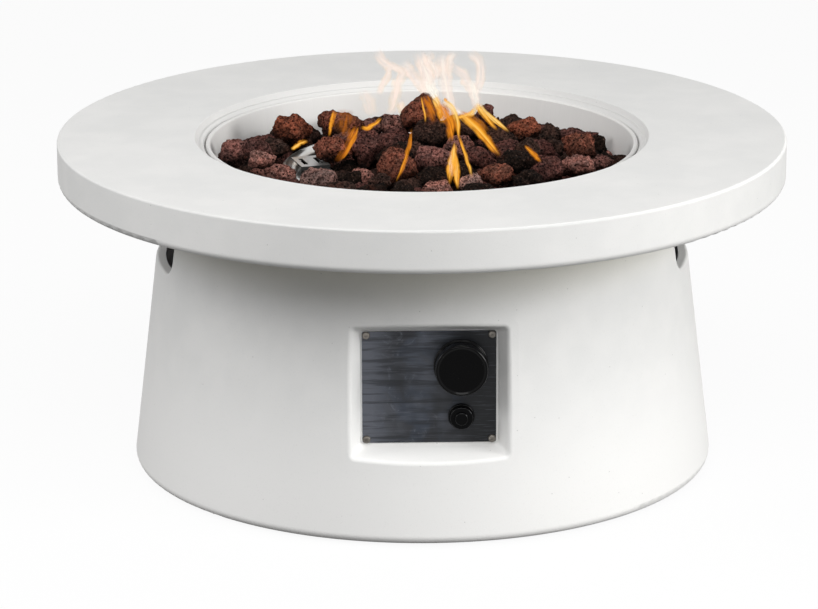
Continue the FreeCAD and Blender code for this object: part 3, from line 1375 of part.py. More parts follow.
NODES = {
    "table_top": table_top,
    "base": base,
    "foot_pads": foot_pads,
    "top_pads": top_pads,
    "top_washers": top_washers,
    "top_bolts": top_bolts,
    "top_inserts": top_inserts,
    "hose_grommet": hose_grommet,
    "fire_bowl": fire_bowl,
    "ring_burner": ring_burner,
    "burner_lock_nut": burner_lock_nut,
    "air_mixer": air_mixer,
    "injector_elbow": injector_elbow,
    "gas_tube": gas_tube,
    "gas_tube_nuts": gas_tube_nuts,
    "heat_shield": heat_shield,
    "shield_studs": shield_studs,
    "shield_nuts": shield_nuts,
    "lead_grommet": lead_grommet,
    "pilot_bracket": pilot_bracket,
    "pilot_screws": pilot_screws,
    "pilot_nuts": pilot_nuts,
    "electrode_ceramic": electrode_ceramic,
    "electrode_pin": electrode_pin,
    "thermocouple": thermocouple,
    "thermocouple_lead": couple_lead,
    "spark_lead": spark_lead,
    "earth_lead": earth_lead,
    "control_panel": control_panel,
    "panel_screws": panel_screws,
    "panel_inserts": panel_inserts,
    "valve_screws": valve_screws,
    "valve_bonnet": valve_bonnet,
    "valve_body": valve_body,
    "valve_back_cap": valve_back_cap,
    "valve_plug": valve_plug,
    "valve_spindle": valve_spindle,
    "thrust_washer": thrust_washer,
    "spindle_spring": spindle_spring,
    "safety_magnet": safety_magnet,
    "outlet_fitting": outlet_fitting,
    "inlet_fitting": inlet_fitting,
    "control_knob": control_knob,
    "igniter_body": igniter_body,
    "igniter_nut": igniter_nut,
    "igniter_bezel": igniter_bezel,
    "igniter_button": igniter_button,
    "igniter_spring": igniter_spring,
    "igniter_battery": igniter_battery,
    "battery_contact": battery_contact,
    "lava_stones_floor": lambda: stones("floor"),
    "lava_stones_middle": lambda: stones("middle"),
    "lava_stones_top": lambda: stones("top"),
    "lava_stones_fill": lambda: stones("fill"),
}

os.makedirs("parts", exist_ok=True)
for name, make in NODES.items():
    shape = make()
    if isinstance(shape, list):
        shape = Part.makeCompound(shape)
    shape.exportStep(f"parts/{name}.step")
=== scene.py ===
import json
import math
from contextlib import contextmanager

import bmesh
import bpy
import numpy as np
from bpy.props import BoolProperty, FloatProperty, FloatVectorProperty, IntProperty, PointerProperty
from mathutils import Matrix, Vector, noise


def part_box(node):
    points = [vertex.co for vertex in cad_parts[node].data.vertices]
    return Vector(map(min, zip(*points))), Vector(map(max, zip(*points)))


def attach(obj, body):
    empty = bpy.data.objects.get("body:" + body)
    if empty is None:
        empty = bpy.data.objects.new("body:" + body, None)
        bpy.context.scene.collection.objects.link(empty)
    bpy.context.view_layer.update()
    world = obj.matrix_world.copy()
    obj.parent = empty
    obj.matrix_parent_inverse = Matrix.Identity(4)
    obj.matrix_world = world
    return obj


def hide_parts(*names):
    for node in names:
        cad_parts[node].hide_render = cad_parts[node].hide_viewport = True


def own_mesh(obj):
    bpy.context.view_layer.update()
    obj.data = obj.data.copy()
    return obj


bl_info = {
    "name": "Fire Pit Table",
    "version": (1, 0, 0),
    "blender": (4, 5, 0),
    "location": "3D View > Sidebar > Fire Pit",
    "description": "Builds the looks of a round gas fire pit table round its packed frame",
    "category": "Add Mesh",
}

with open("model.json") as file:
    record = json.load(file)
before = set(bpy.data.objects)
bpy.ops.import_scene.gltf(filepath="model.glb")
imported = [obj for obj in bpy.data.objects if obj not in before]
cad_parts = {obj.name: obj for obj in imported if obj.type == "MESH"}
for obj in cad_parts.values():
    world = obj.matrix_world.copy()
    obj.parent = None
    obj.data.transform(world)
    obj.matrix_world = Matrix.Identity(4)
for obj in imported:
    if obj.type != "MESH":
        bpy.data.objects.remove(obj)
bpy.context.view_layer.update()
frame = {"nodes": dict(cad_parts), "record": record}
NODES = frame["nodes"]

MM = 0.001
UP = Vector((0, 0, 1))
FRONT = Vector((0, -1, 0))

# Camera: its place, its turns in degrees, and how many pixels the table stands off the frame's middle
PHOTO_WIDTH = 818
LENS = 177.75
SENSOR = 36.0
CAMERA_PLACE = (-0.1288, -4.9193, 1.672)
CAMERA_PITCH = 16.71
CAMERA_TURN = -1.5
CAMERA_ROLL = -0.16
SUBJECT_OFFSET = 13.2
FARTHEST = 100.0

# Lamps: name, place, width, power and colour
WHITE = (1.0, 1.0, 1.0)
LAMPS = (
    ("right lamp", (3.3, -1.5, 1.4), 1.8, 86.0, (1.0, 1.0, 0.99)),
    ("front lamp", (0.10, -2.9, 3.15), 3.0, 86.0, WHITE),
    ("left lamp", (-3.1, -0.5, 2.0), 1.8, 47.0, WHITE),
)
LAMP_AIM = Vector((0, 0, 0.3))
ROOM_LIGHT = 0.26

# Floor: its half width, what it throws back, how white it shows, and the round of painted shade under the
# base
FLOOR_HALF = 30.0
FLOOR_BOUNCE = (0.15, 0.15, 0.15)
FLOOR_GLOW = 0.93
UNDER_BASE_SHADE = 0.325
UNDER_BASE_SHADE_RUN = 0.01

# Places on the table where painted light and shade change the finish: radius and heights on the cast parts,
# and X on the plate
# Radius of the opening and heights of its step, where the ledge inside the opening gets painted shade
OPENING_EDGE = 0.2848
OPENING_RUN = 0.0004
TOP_STEP = (0.399, 0.405)
# Heights on the base for a painted bounce light paler low down, and for a painted darker, warmer shade under
# the rim with its colour
LOW_BOUNCE_LIGHT = (0.22, 0.04)
UNDER_RIM_SHADE = (0.27, 0.36)
UNDER_RIM_SHADE_TINT = (0.80, 0.78, 0.685)
# X on the plate where a painted reflection makes its left paler and painted shade makes its right darker
PLATE_LEFT_REFLECTION = (-0.030, -0.078)
PLATE_RIGHT_SHADE = (-0.005, 0.060)

SHARP_ANGLE = math.radians(35.0)
SAME_SPOT = 1e-7

# Feet, in mm: radius, radius of their circle, count and first turn, then the ribs below
FOOT_RADIUS, FOOT_CIRCLE, FOOT_COUNT, FOOT_TURN = 9.0, 342.0, 6, math.radians(30)
RIB_COUNT, RIB_START, RIB_PITCH = 3, 1.6, 2.3
RIB = ((0.0, 0.0), (0.4, 0.6), (1.0, 0.6), (1.4, 0.0))

# Plate screws, in mm, and how long and wide the cross is, in heads, at its floor and at its mouth
SCREW_HEAD, SCREW_SHANK = 4.8, 2.5
CROSS_FLOOR, CROSS_MOUTH = (0.75, 0.16), (1.15, 0.27)
SCREW_SEED = 5

# Knob, in mm: radii of its bore, of the hollow behind it and of its face; then its index groove in metres
KNOB_BORE, KNOB_HOLLOW, KNOB_FACE = 8.8, 24, 31.5
GROOVE_WIDE, GROOVE_DEEP, GROOVE_LONG, GROOVE_PAST = 0.0016, 0.0008, 0.0040, 0.0010


# Nodes

def socket_of(sockets, key):
    """A socket by its identifier, or else by its name or number."""
    if isinstance(key, int):
        return sockets[key]
    for socket in sockets:
        if socket.identifier == key:
            return socket
    return sockets[key]


def overload(operation):
    """A Python operator and its reflected form, which add a Math node."""

    def straight(self, other):
        return self.work.math(operation, self, other)

    def reflected(self, other):
        return self.work.math(operation, other, self)

    return straight, reflected


class Value:
    """A node's output that can be added, multiplied and so on as a number."""
    __add__, __radd__ = overload("ADD")
    __sub__, __rsub__ = overload("SUBTRACT")
    __mul__, __rmul__ = overload("MULTIPLY")
    __truediv__, __rtruediv__ = overload("DIVIDE")

    def __init__(self, work, node, output):
        self.work = work
        self.node = node
        self.output = output

    def out(self, key):
        """Another output of the same node."""
        return Value(self.work, self.node, socket_of(self.node.outputs, key))

    def step(self, low, high):
        """0 at low and 1 at high, with a smooth run between; low may be the larger."""
        inputs = {"Value": self, "From Min": low, "From Max": high}
        return self.work.add("ShaderNodeMapRange", {"interpolation_type": "SMOOTHSTEP"}, inputs)


class NodeWork:
    """Adds nodes to a tree."""

    def __init__(self, tree):
        self.tree = tree

    def add(self, kind, settings=None, inputs=None, output=0):
        """A node of a type, with its settings made first and then its sockets fed."""
        node = self.tree.nodes.new(kind)
        for key, value in (settings or {}).items():
            if key == "stops":
                self.set_stops(node.color_ramp.elements, value)
            else:
                setattr(node, key, value)
        for key, value in (inputs or {}).items():
            self.feed(socket_of(node.inputs, key), value)
        return Value(self, node, socket_of(node.outputs, output))

    def set_stops(self, elements, stops):
        while len(elements) < len(stops):
            elements.new(1.0)
        for element, (place, colour) in zip(elements, stops):
            element.position = place
            element.color = (*colour, 1.0)

    def feed(self, socket, value):
        if isinstance(value, Value):
            self.tree.links.new(value.output, socket)
        elif socket.type == "RGBA":
            socket.default_value = (*value[:3], 1.0)
        else:
            socket.default_value = value

    def math(self, operation, first, second=0.0):
        return self.add("ShaderNodeMath", {"operation": operation}, {0: first, 1: second})

    def join(self, x=0.0, y=0.0, z=0.0):
        """A vector of three numbers."""
        return self.add("ShaderNodeCombineXYZ", inputs={"X": x, "Y": y, "Z": z})


class Paint(NodeWork):
    """A material; its patterns are in metres on the object's own coordinates."""

    def __init__(self, name):
        self.material = bpy.data.materials.new(name)
        self.material.use_nodes = True
        super().__init__(self.material.node_tree)
        self.shader = self.tree.nodes["Principled BSDF"]
        self.place = self.add("ShaderNodeTexCoord", output="Object")

    def split(self, vector):
        """X, Y and Z of a vector."""
        parts = self.add("ShaderNodeSeparateXYZ", inputs={0: vector})
        return parts.out("X"), parts.out("Y"), parts.out("Z")

    def noise(self, scale, detail=3.0, rough=0.5, vector=None, warp=0.0):
        return self.add("ShaderNodeTexNoise", inputs={
            "Vector": vector or self.place, "Scale": scale, "Detail": detail, "Roughness": rough,
            "Distortion": warp})

    def cells(self, scale, vector=None):
        return self.add("ShaderNodeTexVoronoi", inputs={"Vector": vector or self.place, "Scale": scale})

    def facing(self):
        """X, Y and Z of the way that the surface faces."""
        return self.split(self.add("ShaderNodeTexCoord", output="Normal"))

    def mark(self, label, output="Fac"):
        """What the mesh's own attribute says."""
        return self.add("ShaderNodeAttribute", {"attribute_name": label}, output=output)

    def blend(self, share, first, second, kind="MIX"):
        settings = {"data_type": "RGBA", "blend_type": kind}
        inputs = {"Factor_Float": share, "A_Color": first, "B_Color": second}
        return self.add("ShaderNodeMix", settings, inputs, "Result_Color")

    def bump(self, height, depth, strength):
        return self.add("ShaderNodeBump", inputs={"Height": height, "Distance": depth, "Strength": strength})

    def finish(self, **sockets):
        """Feeds the shader's own sockets, by their names with underscores for spaces."""
        for key, value in sockets.items():
            self.feed(self.shader.inputs[key.replace("_", " ")], value)
        return self.material


# Finishes

def shade(colour, by, plus=0.0):
    """A colour times a number, or times one for each of its parts, and a number added."""
    return tuple(min(1.0, c * f + plus) for c, f in zip(colour, np.broadcast_to(by, 3)))


def concrete(name, colour, seed, bounce_and_rim_shade=False):
    """Matte cast concrete with soft clouds, a fine grain and a few pinholes painted dark as the shade inside
    them, and painted shade on the ledge in the opening;
    when its flag is set, also a painted bounce light lower down and a painted darker, warmer shade high under
    the rim."""
    paint = Paint(name)
    shifted = paint.add("ShaderNodeVectorMath", {"operation": "ADD"}, {0: paint.place, 1: (seed, 0, 0)})
    clouds = paint.noise(5.0, 4.0, 0.55, shifted)
    patches = paint.noise(23.0, 3.0, 0.5, shifted)
    grain = paint.noise(520.0, 2.0, 0.6, shifted)
    pores = paint.cells(95.0, shifted)
    chance = paint.split(pores.out("Color"))[0]
    pinholes = pores.step(0.085, 0.03) * chance.step(0.80, 0.82)
    tone = clouds.step(0.36, 0.66) * 0.55 + patches.step(0.35, 0.7) * 0.45
    base = paint.blend(tone, shade(colour, (0.955, 0.96, 0.962)), shade(colour, 1.02))
    x, y, z = paint.split(paint.place)
    # Painted shade on the ledge and step inside the opening
    edge = OPENING_EDGE ** 2
    ledge_shade = (x * x + y * y).step(edge + OPENING_RUN, edge - OPENING_RUN) * z.step(*TOP_STEP)
    base = paint.blend(ledge_shade, base, shade(colour, 0.87))
    if bounce_and_rim_shade:
        # Painted bounce light low on the base, and painted shade, darker and warmer, high under the rim
        base = paint.blend(z.step(*LOW_BOUNCE_LIGHT), base, shade(colour, 1.08))
        base = paint.blend(z.step(*UNDER_RIM_SHADE), base, UNDER_RIM_SHADE_TINT)
    base = paint.blend(grain.step(0.40, 0.30) * 0.10, base, shade(colour, 0.62))
    # Painted shade: pinholes darkened as the shade inside them
    base = paint.blend(pinholes * 0.55, base, shade(colour, 0.42))
    normal = paint.bump(grain * 0.25 + patches * 0.5 - pinholes, 0.0004, 0.5)
    return paint.finish(
        Base_Color=base, Roughness=0.74 + clouds * 0.16, Normal=normal, Specular_IOR_Level=0.25)


def sheet_steel(name, colour, rough, tint=0.0, metal=1.0, streaks=0.14):
    """Stainless sheet brushed round a vertical axis, with an optional heat tint."""
    paint = Paint(name)
    x, y, z = paint.split(paint.place)
    angle = paint.math("ARCTAN2", y, x)
    lines = paint.noise(1.0, 5.0, 0.65, paint.join(angle * 210.0, z * 9.0, 0.0))
    clouds = paint.noise(16.0, 4.0, 0.6)
    tone = lines * 0.5 + clouds * 0.5
    base = paint.blend(tone.step(0.3, 0.7), shade(colour, 1 - streaks), colour)
    if tint:
        straw = paint.blend(clouds.step(0.4, 0.62), (0.62, 0.47, 0.30), (0.36, 0.33, 0.42))
        base = paint.blend(paint.noise(42.0, 2.0).step(0.42, 0.66) * tint, base, straw)
    normal = paint.bump(lines, 0.0008 * streaks, 0.35)
    return paint.finish(
        Base_Color=base, Metallic=metal, Roughness=rough + (tone - 0.5) * 0.22, Normal=normal)


def side_shaded_steel(name, colour):
    """Stainless sheet near a flame: bright on top, painted near black on its sides as shade, with random dark
    stains.
    """
    paint = Paint(name)
    upward = paint.facing()[2]
    stains = paint.noise(90.0, 4.0, 0.6)
    # Painted shade: every face that does not look up is darkened almost to black
    lit_top = (upward + stains * 0.3).step(0.75, 1.05)
    base = paint.blend(lit_top, shade(colour, 0.05), colour)
    base = paint.blend(stains.step(0.55, 0.7) * 0.5, base, shade(colour, 0.3))
    return paint.finish(
        Base_Color=base, Metallic=0.4 + lit_top * 0.5, Roughness=0.62 - lit_top * 0.25,
        Normal=paint.bump(stains, 0.0001, 0.4))


def turned_metal(name, colour, rough, scale=900.0):
    """Machined or plated small parts, with a fine grain and slightly dull patches."""
    paint = Paint(name)
    grain = paint.noise(scale, 3.0, 0.6)
    patches = paint.noise(scale * 0.12, 3.0, 0.55)
    base = paint.blend(patches.step(0.42, 0.68), colour, shade(colour, 0.72))
    normal = paint.bump(grain, 0.00006, 0.4)
    return paint.finish(Base_Color=base, Metallic=1.0, Roughness=rough + patches * 0.18, Normal=normal)


def galvanised(name, colour):
    """Zinc-dipped sheet with its crystal pattern."""
    paint = Paint(name)
    crystals = paint.cells(85.0)
    tone = paint.split(crystals.out("Color"))[0]
    base = paint.blend(tone, shade(colour, 0.80), colour)
    grain = paint.noise(700.0, 2.0)
    return paint.finish(
        Base_Color=base, Metallic=0.85, Roughness=0.38 + tone * 0.2,
        Normal=paint.bump(grain, 0.00005, 0.4))


def dark_plate(name, colour):
    """Dark brushed plate, handled and heat-stained, with cloudy bluish streaks, a painted reflection paler on
    its left and painted shade darker on its right.
    """
    paint = Paint(name)
    x, y, z = paint.split(paint.place)
    lines = paint.noise(1.0, 6.0, 0.7, paint.join(x * 24.0, y, z * 620.0))
    strokes = paint.noise(1.0, 3.0, 0.6, paint.join(x * 13.0, y, z * 190.0))
    clouds = paint.noise(26.0, 4.0, 0.6, warp=0.6)
    patches = paint.noise(11.0, 3.0, 0.6)
    scuffs = paint.noise(1.0, 4.0, 0.65, paint.join(x * 60.0, y, z * 60.0), 1.2)
    pale_wear_and_reflection, deep = shade(colour, (3.8, 3.8, 3.9)), shade(colour, 0.35)
    base = paint.blend(clouds.step(0.42, 0.60) * 0.8, colour, shade(colour, (1.3, 1.5, 1.8)))
    base = paint.blend(patches.step(0.48, 0.66) * 0.55, base, pale_wear_and_reflection)
    base = paint.blend(patches.step(0.50, 0.36) * 0.65, base, deep)
    base = paint.blend(scuffs.step(0.56, 0.72) * 0.60, base, pale_wear_and_reflection)
    # Painted reflection on the plate's left and painted shade on its right
    base = paint.blend(x.step(*PLATE_LEFT_REFLECTION) * 0.85, base, pale_wear_and_reflection)
    base = paint.blend(x.step(*PLATE_RIGHT_SHADE), base, deep)
    base = paint.blend(strokes.step(0.48, 0.64) * 0.6, base, deep)
    base = paint.blend(lines.step(0.52, 0.70) * 0.40, base, pale_wear_and_reflection)
    normal = paint.bump(lines, 0.00008, 0.4)
    return paint.finish(
        Base_Color=base, Metallic=0.55, Roughness=0.34 + clouds * 0.22 + lines * 0.1, Normal=normal)


def moulded(name, colour, rough, coat=0.0, level=0.5, front=False):
    """Moulded plastic or glazed ceramic with faint waves and fine scuffs; front keeps the coat off
    the faces towards the front, which are worn dull."""
    paint = Paint(name)
    if front:
        coat = (paint.facing()[1] * -1.0).step(0.98, 0.75) * coat
    waves = paint.noise(160.0, 2.0)
    scuffs = paint.noise(1400.0, 3.0, 0.6)
    base = paint.blend(scuffs.step(0.55, 0.8) * 0.35, colour, shade(colour, 1.6, 0.01))
    height = waves * 0.7 + scuffs * 0.3
    return paint.finish(
        Base_Color=base, Roughness=rough + scuffs * 0.08, Normal=paint.bump(height, 0.00004, 0.3),
        Coat_Weight=coat, Coat_Roughness=0.06, Specular_IOR_Level=level)


def rubber(name, colour, rough=0.7):
    """Dull moulded rubber or silicone with a fine skin and dusty places."""
    paint = Paint(name)
    skin = paint.noise(1100.0, 2.0)
    dust = paint.noise(120.0, 4.0, 0.6)
    base = paint.blend(dust.step(0.5, 0.75) * 0.3, colour, shade(colour, 0.7, 0.12))
    return paint.finish(
        Base_Color=base, Roughness=rough + dust * 0.15, Normal=paint.bump(skin, 0.00008, 0.5))


def lava(name):
    """Porous lava: each stone's own tint, darkened by painted shade on its underside, with red patches,
    darker where the grit is low, pores and pits painted near black as the shade inside them, and pale specks
    as painted highlights on the grit.
    """
    paint = Paint(name)
    tint = paint.mark("tint", "Color")
    patches = paint.noise(70.0, 4.0, 0.6, warp=0.4)
    grit = paint.noise(330.0, 6.0, 0.72)
    blots = paint.noise(190.0, 3.0, 0.6, warp=0.3)
    pores = paint.cells(230.0)
    fine = paint.cells(620.0)
    holes = pores.step(0.44, 0.20) * blots.step(0.40, 0.55)
    pits = fine.step(0.42, 0.18)
    base = paint.blend(patches.step(0.36, 0.64), tint, (1.9, 1.58, 1.5), "MULTIPLY")
    base = paint.blend(paint.noise(45.0, 3.0).step(0.56, 0.70) * 0.35, base, (0.130, 0.042, 0.026))
    base = paint.blend(blots.step(0.52, 0.36) * 0.85, base, (0.22, 0.20, 0.20), "MULTIPLY")
    base = paint.blend(grit.step(0.52, 0.40), base, (0.36, 0.32, 0.32), "MULTIPLY")
    # Painted highlight: pale specks on the raised grit
    base = paint.blend(grit.step(0.56, 0.70) * 0.42, base, (0.330, 0.200, 0.160))
    # Painted shade: pores and pits near black
    base = paint.blend(holes * 0.95, base, (0.002, 0.0015, 0.0015))
    base = paint.blend(pits * 0.65, base, (0.003, 0.002, 0.002))
    height = grit * 0.8 + blots * 0.5 - holes * 0.9 - pits * 0.3
    normal = paint.bump(height, 0.0022, 1.0)
    return paint.finish(
        Base_Color=base, Roughness=0.84 + grit * 0.15, Normal=normal, Specular_IOR_Level=0.05)


def flame(name):
    """Thin burning gas: from deep orange to white with its warmth, and fading at its sides and ends."""
    paint = Paint(name)
    along, across, warmth, veil, which = [paint.mark(label) for label in FLAME_MARKS]
    bends = paint.noise(1.0, 2.0, 0.5, paint.join(along * 2.6, which * 3.1, 0.0))
    side = paint.math("ABSOLUTE", across * 1.15 + (bends - 0.5) * 1.5)
    strands = paint.noise(1.0, 3.0, 0.6, paint.join(across * 2.6, along * 1.2, which * 7.3), 0.7)
    curls = paint.noise(1.0, 3.0, 0.55, paint.join(across * 1.4, along * 4.0, which * 3.1), 0.6)
    warm = warmth + (0.40 - side) * 0.16 + (strands - 0.5) * (1.1 - warmth) * 0.9
    colours = paint.add("ShaderNodeValToRGB", {"stops": [
        (0.0, (0.20, 0.070, 0.018)), (0.2, (0.62, 0.17, 0.012)), (0.38, (0.90, 0.31, 0.020)),
        (0.52, (1.0, 0.46, 0.045)), (0.66, (1.0, 0.66, 0.20)), (0.78, (1.0, 0.79, 0.60)),
        (0.88, (1.0, 0.83, 0.735)), (1.0, (1.0, 0.96, 0.86))]}, {"Fac": warm}, "Color")
    edge = side + (curls - 0.5) * 1.1
    body = edge.step(0.95, 0.10) * side.step(1.0, 0.75) * along.step(0.0, 0.22) * along.step(1.0, 0.70)
    shown = body * veil * (0.40 + strands.step(0.38, 0.60) * 0.60)
    return paint.finish(
        Base_Color=(0.0, 0.0, 0.0), Roughness=1.0, Specular_IOR_Level=0.0, Emission_Color=colours,
        Emission_Strength=1.0, Alpha=shown)


FINISHES = {}


def make_finishes(colours):
    """Every material of the table, by the record's slot."""
    FINISHES.update({
        "concrete": concrete("cast concrete", colours.concrete, 0.0),
        "concrete_base": concrete("cast concrete base", colours.base, 3.0, bounce_and_rim_shade=True),
        "bowl_steel": sheet_steel("satin bowl steel", colours.bowl_steel, 0.6, metal=0.15, streaks=0.05),
        "stainless": sheet_steel("burner steel", (0.66, 0.65, 0.63), 0.30, 0.35),
        "hood_steel": side_shaded_steel("sooted hood steel", (0.42, 0.41, 0.40)),
        "dark_steel": dark_plate("dark brushed plate", colours.plate),
        "zinc": turned_metal("zinc plate", (0.66, 0.67, 0.68), 0.28),
        "screw_steel": turned_metal("dull screw steel", (0.20, 0.185, 0.165), 0.36, 700.0),
        "spring_steel": turned_metal("spring steel", (0.50, 0.50, 0.51), 0.22),
        "brass": turned_metal("machined brass", (0.72, 0.53, 0.24), 0.25),
        "copper": turned_metal("copper", (0.70, 0.36, 0.22), 0.28),
        "aluminium": turned_metal("die-cast aluminium", (0.70, 0.70, 0.71), 0.42, 420.0),
        "galvanised": galvanised("galvanised sheet", (0.58, 0.59, 0.60)),
        "black_gloss": moulded("glossy black knob", (0.0012, 0.0012, 0.0014), 0.16, 0.45, 0.06, front=True),
        "black_matte": moulded("matte black moulding", (0.022, 0.022, 0.023), 0.55),
        "rubber": rubber("black rubber", (0.020, 0.020, 0.021)),
        "silicone_white": rubber("white sleeve", (0.70, 0.69, 0.65), 0.5),
        "silicone_green": rubber("green sleeve", (0.05, 0.20, 0.07), 0.5),
        "ceramic": moulded("glazed ceramic", (0.80, 0.78, 0.73), 0.18, 0.3),
        "battery_case": moulded("battery sleeve", (0.03, 0.04, 0.05), 0.35, 0.2),
        "lava": lava("lava stone"),
        "flame": flame("gas flame"),
    })


def dress(*names, finish=None):
    """Gives CAD nodes the material of their record's slot, or another."""
    slots = {s["node"]: s["material_slot"] for s in frame["record"]["subparts"]}
    for name in names:
        mesh = NODES[name].data
        mesh.materials.clear()
        mesh.materials.append(FINISHES[finish or slots[name]])


# Meshes

def new_object(name, mesh):
    piece = bpy.data.objects.new(name, mesh)
    bpy.context.scene.collection.objects.link(piece)
    return piece


@contextmanager
def edited(mesh):
    """A mesh open for editing, written back at the end."""
    work = bmesh.new()
    work.from_mesh(mesh)
    yield work
    work.to_mesh(mesh)
    work.free()


def outward(mesh):
    """Merges doubles and turns all faces outwards."""
    with edited(mesh) as work:
        bmesh.ops.remove_doubles(work, verts=work.verts, dist=SAME_SPOT)
        bmesh.ops.recalc_face_normals(work, faces=work.faces)


def smooth_by_angle(mesh):
    """Smooth shading with sharp edges where faces meet at more than an angle."""
    with edited(mesh) as work:
        for face in work.faces:
            face.smooth = True
        for edge in work.edges:
            edge.smooth = len(edge.link_faces) == 2 and edge.calc_face_angle(0.0) < SHARP_ANGLE


def rounded(points, steps):
    """Profile with (radius, distance, rounding) corners turned into arcs."""
    found = []
    for i, (r, h, bend) in enumerate(points):
        spot = Vector((r, h))
        if not bend or i in (0, len(points) - 1):
            found.append(tuple(spot))
            continue
        back = (Vector(points[i - 1][:2]) - spot).normalized()
        ahead = (Vector(points[i + 1][:2]) - spot).normalized()
        half = back.angle(ahead) / 2
        middle = spot + (back + ahead).normalized() * bend / math.sin(half)
        first = spot + back * bend / math.tan(half) - middle
        last = spot + ahead * bend / math.tan(half) - middle
        for n in range(steps + 1):
            share = n / steps
            arm = (first * (1 - share) + last * share).normalized() * bend
            found.append(tuple(middle + arm))
    return found


def lathe_mesh(name, profile, start, axis, around, steps):
    """Closed turned mesh from (radius, distance along the axis, rounding) points; it starts and ends
    at radius 0."""
    turn = UP.rotation_difference(axis).to_matrix().to_4x4()
    spots, faces, rows = [], [], []
    for radius, height in rounded(profile, steps):
        if radius == 0:
            rows.append([len(spots)] * around)
            spots.append((0.0, 0.0, height))
            continue
        rows.append(range(len(spots), len(spots) + around))
        for i in range(around):
            angle = 2 * math.pi * i / around
            spots.append((radius * math.cos(angle), radius * math.sin(angle), height))
    for low, high in zip(rows, rows[1:]):
        for i in range(around):
            j = (i + 1) % around
            faces.append(list(dict.fromkeys((low[i], low[j], high[j], high[i]))))
    mesh = bpy.data.meshes.new(name)
    mesh.from_pydata(spots, [], faces)
    mesh.transform(Matrix.Translation(start) @ turn @ Matrix.Scale(MM, 4))
    outward(mesh)
    return mesh


def add_piece(name, mesh, body, slot=None, nodes=(), finish=None):
    """A finished piece: material, the body it rides on, its slot and the CAD nodes it stands for."""
    mesh.materials.clear()
    mesh.materials.append(FINISHES[finish or slot])
    piece = new_object(name, mesh)
    if nodes:
        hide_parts(*nodes)
    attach(piece, body)
    return piece


def made_plain(maker, *helpers):
    """The plain mesh that an object's modifiers make; the object and its helpers are removed."""
    shown = maker.evaluated_get(bpy.context.evaluated_depsgraph_get())
    mesh = bpy.data.meshes.new_from_object(shown)
    for item in (maker, *helpers):
        bpy.data.objects.remove(item)
    return mesh


def carved(name, mesh, cutter_mesh):
    """A closed mesh with another cut out of it."""
    shape, cutter = new_object(name, mesh), new_object("cutter", cutter_mesh)
    cut = shape.modifiers.new("cut", "BOOLEAN")
    cut.object = cutter
    cut.solver = "EXACT"
    cut.use_self = True
    found = made_plain(shape, cutter)
    outward(found)
    smooth_by_angle(found)
    return found


def pressed_spring(name, node):
    """A smooth copy of a CAD node's spring, riding on the table."""
    source = NODES[node].data
    mesh = bpy.data.meshes.new(name)
    mesh.from_pydata([v.co[:] for v in source.vertices], [], [f.vertices[:] for f in source.polygons])
    outward(mesh)
    smooth_by_angle(mesh)
    piece = add_piece(name, mesh, "table", "spring_steel", [node])
    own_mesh(piece)


# Geometry Nodes

class Copies(NodeWork):
    """A tree that puts copies of one shape on points, made real and given a material."""

    def __init__(self, name, **inputs):
        super().__init__(bpy.data.node_groups.new(name, "GeometryNodeTree"))
        self.sockets = {}
        for label, kind in {**inputs, "Shape": "Object", "Material": "Material"}.items():
            label = label.replace("_", " ")
            socket = self.tree.interface.new_socket(label, in_out="INPUT", socket_type="NodeSocket" + kind)
            self.sockets[label] = socket.identifier
        self.tree.interface.new_socket("Geometry", in_out="OUTPUT", socket_type="NodeSocketGeometry")
        self.start = self.add("NodeGroupInput")

    def take(self, label):
        """One of the tree's own inputs."""
        return self.start.out(label)

    def place(self, points, rotation):
        """Copies on the points, realised, with the material, into the output."""
        shape = self.add("GeometryNodeObjectInfo", inputs={"Object": self.take("Shape")}, output="Geometry")
        copies = self.add("GeometryNodeInstanceOnPoints", inputs={
            "Points": points, "Instance": shape, "Rotation": rotation}, output="Instances")
        real = self.add("GeometryNodeRealizeInstances", inputs={"Geometry": copies})
        painted = self.add("GeometryNodeSetMaterial", inputs={
            "Geometry": real, "Material": self.take("Material")})
        end = self.tree.nodes.new("NodeGroupOutput")
        self.feed(end.inputs[0], painted)

    def make(self, name, shape_mesh, finish, values):
        """The tree's plain mesh for one shape, one finish and given values of its other inputs."""
        shape = new_object(f"{name} shape", shape_mesh)
        carrier = new_object(name, bpy.data.meshes.new(name))
        modifier = carrier.modifiers.new("copies", "NODES")
        modifier.node_group = self.tree
        for label, value in {**values, "Shape": shape, "Material": FINISHES[finish]}.items():
            modifier[self.sockets[label]] = value
        mesh = made_plain(carrier, shape)
        if not mesh.polygons:
            raise RuntimeError(f"{name} came out empty")
        mesh.name = name
        return mesh


def ring_of_copies():
    """Copies on a horizontal circle, each turned to face outwards."""
    work = Copies("copies on a ring", Count="Int", Circle_radius="Float", Height="Float", First_turn="Float")
    circle = work.add("GeometryNodeMeshCircle", inputs={
        "Vertices": work.take("Count"), "Radius": work.take("Circle radius")})
    turn = work.join(z=work.take("First turn"))
    lift = work.join(z=work.take("Height"))
    placed = work.add("GeometryNodeTransform", inputs={
        "Geometry": circle, "Translation": lift, "Rotation": turn})
    index = work.add("GeometryNodeInputIndex")
    angle = index / work.take("Count") * (2 * math.pi) + work.take("First turn")
    work.place(placed, work.join(z=angle))
    return work


